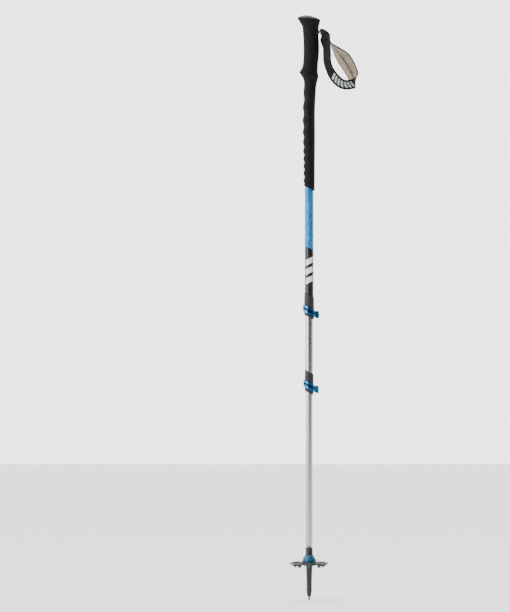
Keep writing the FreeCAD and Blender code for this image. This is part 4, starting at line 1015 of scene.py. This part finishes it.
def soft_light(name, place, target, width, height, power):
    """A rectangular area light that faces its target."""
    lamp = bpy.data.lights.new(name, "AREA")
    lamp.shape, lamp.size, lamp.size_y, lamp.energy = "RECTANGLE", width, height, power
    light = bpy.data.objects.new(name, lamp)
    bpy.context.scene.collection.objects.link(light)
    light.location = place
    light.rotation_euler = (Vector(target) - Vector(place)).to_track_quat("-Z", "Y").to_euler()


class POLE_OT_stage(Operator):
    """Add the pale floor, the studio light and the camera"""

    bl_idname = "pole.stage"
    bl_label = "Stage"

    def execute(self, context):
        reach = np.linspace(-6, 6, 3)
        x, y = np.meshgrid(reach, reach)
        floor = surface("floor", np.stack([x, y, 0 * x - 0.5 * MM], axis=-1))
        pale, shader = new_finish("floor_pale_matt")
        set_inputs(pale, shader, base_color=linear("#F2F2F1"), roughness=0.9)
        floor.data.materials.append(pale)

        world = bpy.data.worlds.new("studio")
        context.scene.world = world
        world.use_nodes = True
        world.node_tree.nodes.clear()
        way = add_node(world, "TexCoord").outputs["Generated"]
        toward = add_node(world, "VectorMath", {0: way, 1: DIM_SIDE}, operation="DOT_PRODUCT")
        strength = ranged(world, toward.outputs["Value"], 0.05, 0.5, BRIGHT, DIM)
        back = add_node(world, "Background", {"Color": (1, 1, 1, 1), "Strength": strength})
        add_node(world, "OutputWorld", {"Surface": back.outputs["Background"]})

        soft_light("key", (-1.9, -1.5, 1.2), (0, 0, 0.75), 0.7, 1.8, 30)
        soft_light("fill", (2.0, 0.2, 0.9), (0, 0, 0.7), 0.5, 1.6, 10)

        lens = bpy.data.cameras.new("camera")
        lens.lens, lens.sensor_fit, lens.sensor_height = 200, "VERTICAL", 36
        camera = bpy.data.objects.new("camera", lens)
        context.scene.collection.objects.link(camera)
        camera.location = (-0.111, -6.97, 0.6034)
        camera.rotation_euler = (math.radians(90), 0, 0)
        context.scene.camera = camera
        return {"FINISHED"}


# ---------------------------------------------------------------- panel and registration

PIECES = (POLE_OT_head_foam, POLE_OT_sleeve_foam, POLE_OT_cap, POLE_OT_strap, POLE_OT_lining,
          POLE_OT_levers, POLE_OT_clamps, POLE_OT_tubes, POLE_OT_inner, POLE_OT_foot,
          POLE_OT_stage)


class POLE_PT_panel(Panel):
    """Sizes, colours and pieces of the pole, in the order they are added"""

    bl_label = "Ski Touring Pole"
    bl_idname = "POLE_PT_panel"
    bl_space_type = "VIEW_3D"
    bl_region_type = "UI"
    bl_category = "Ski Pole"

    def draw(self, context):
        layout = self.layout
        for group in (context.scene.pole_sizes, context.scene.pole_colours):
            box = layout.box()
            for name in group.bl_rna.properties.keys():
                if name not in ("rna_type", "name"):
                    box.prop(group, name)
        for piece in PIECES:
            layout.operator(piece.bl_idname)


CLASSES = (PoleSizes, PoleColours, *PIECES, POLE_PT_panel)


def register():
    for kind in CLASSES:
        bpy.utils.register_class(kind)
    bpy.types.Scene.pole_sizes = PointerProperty(type=PoleSizes)
    bpy.types.Scene.pole_colours = PointerProperty(type=PoleColours)


def unregister():
    del bpy.types.Scene.pole_colours
    del bpy.types.Scene.pole_sizes
    for kind in reversed(CLASSES):
        bpy.utils.unregister_class(kind)


def main():
    register()
    for piece in PIECES:
        getattr(bpy.ops.pole, piece.bl_idname.split(".")[1])()


if __name__ == "__main__":
    main()
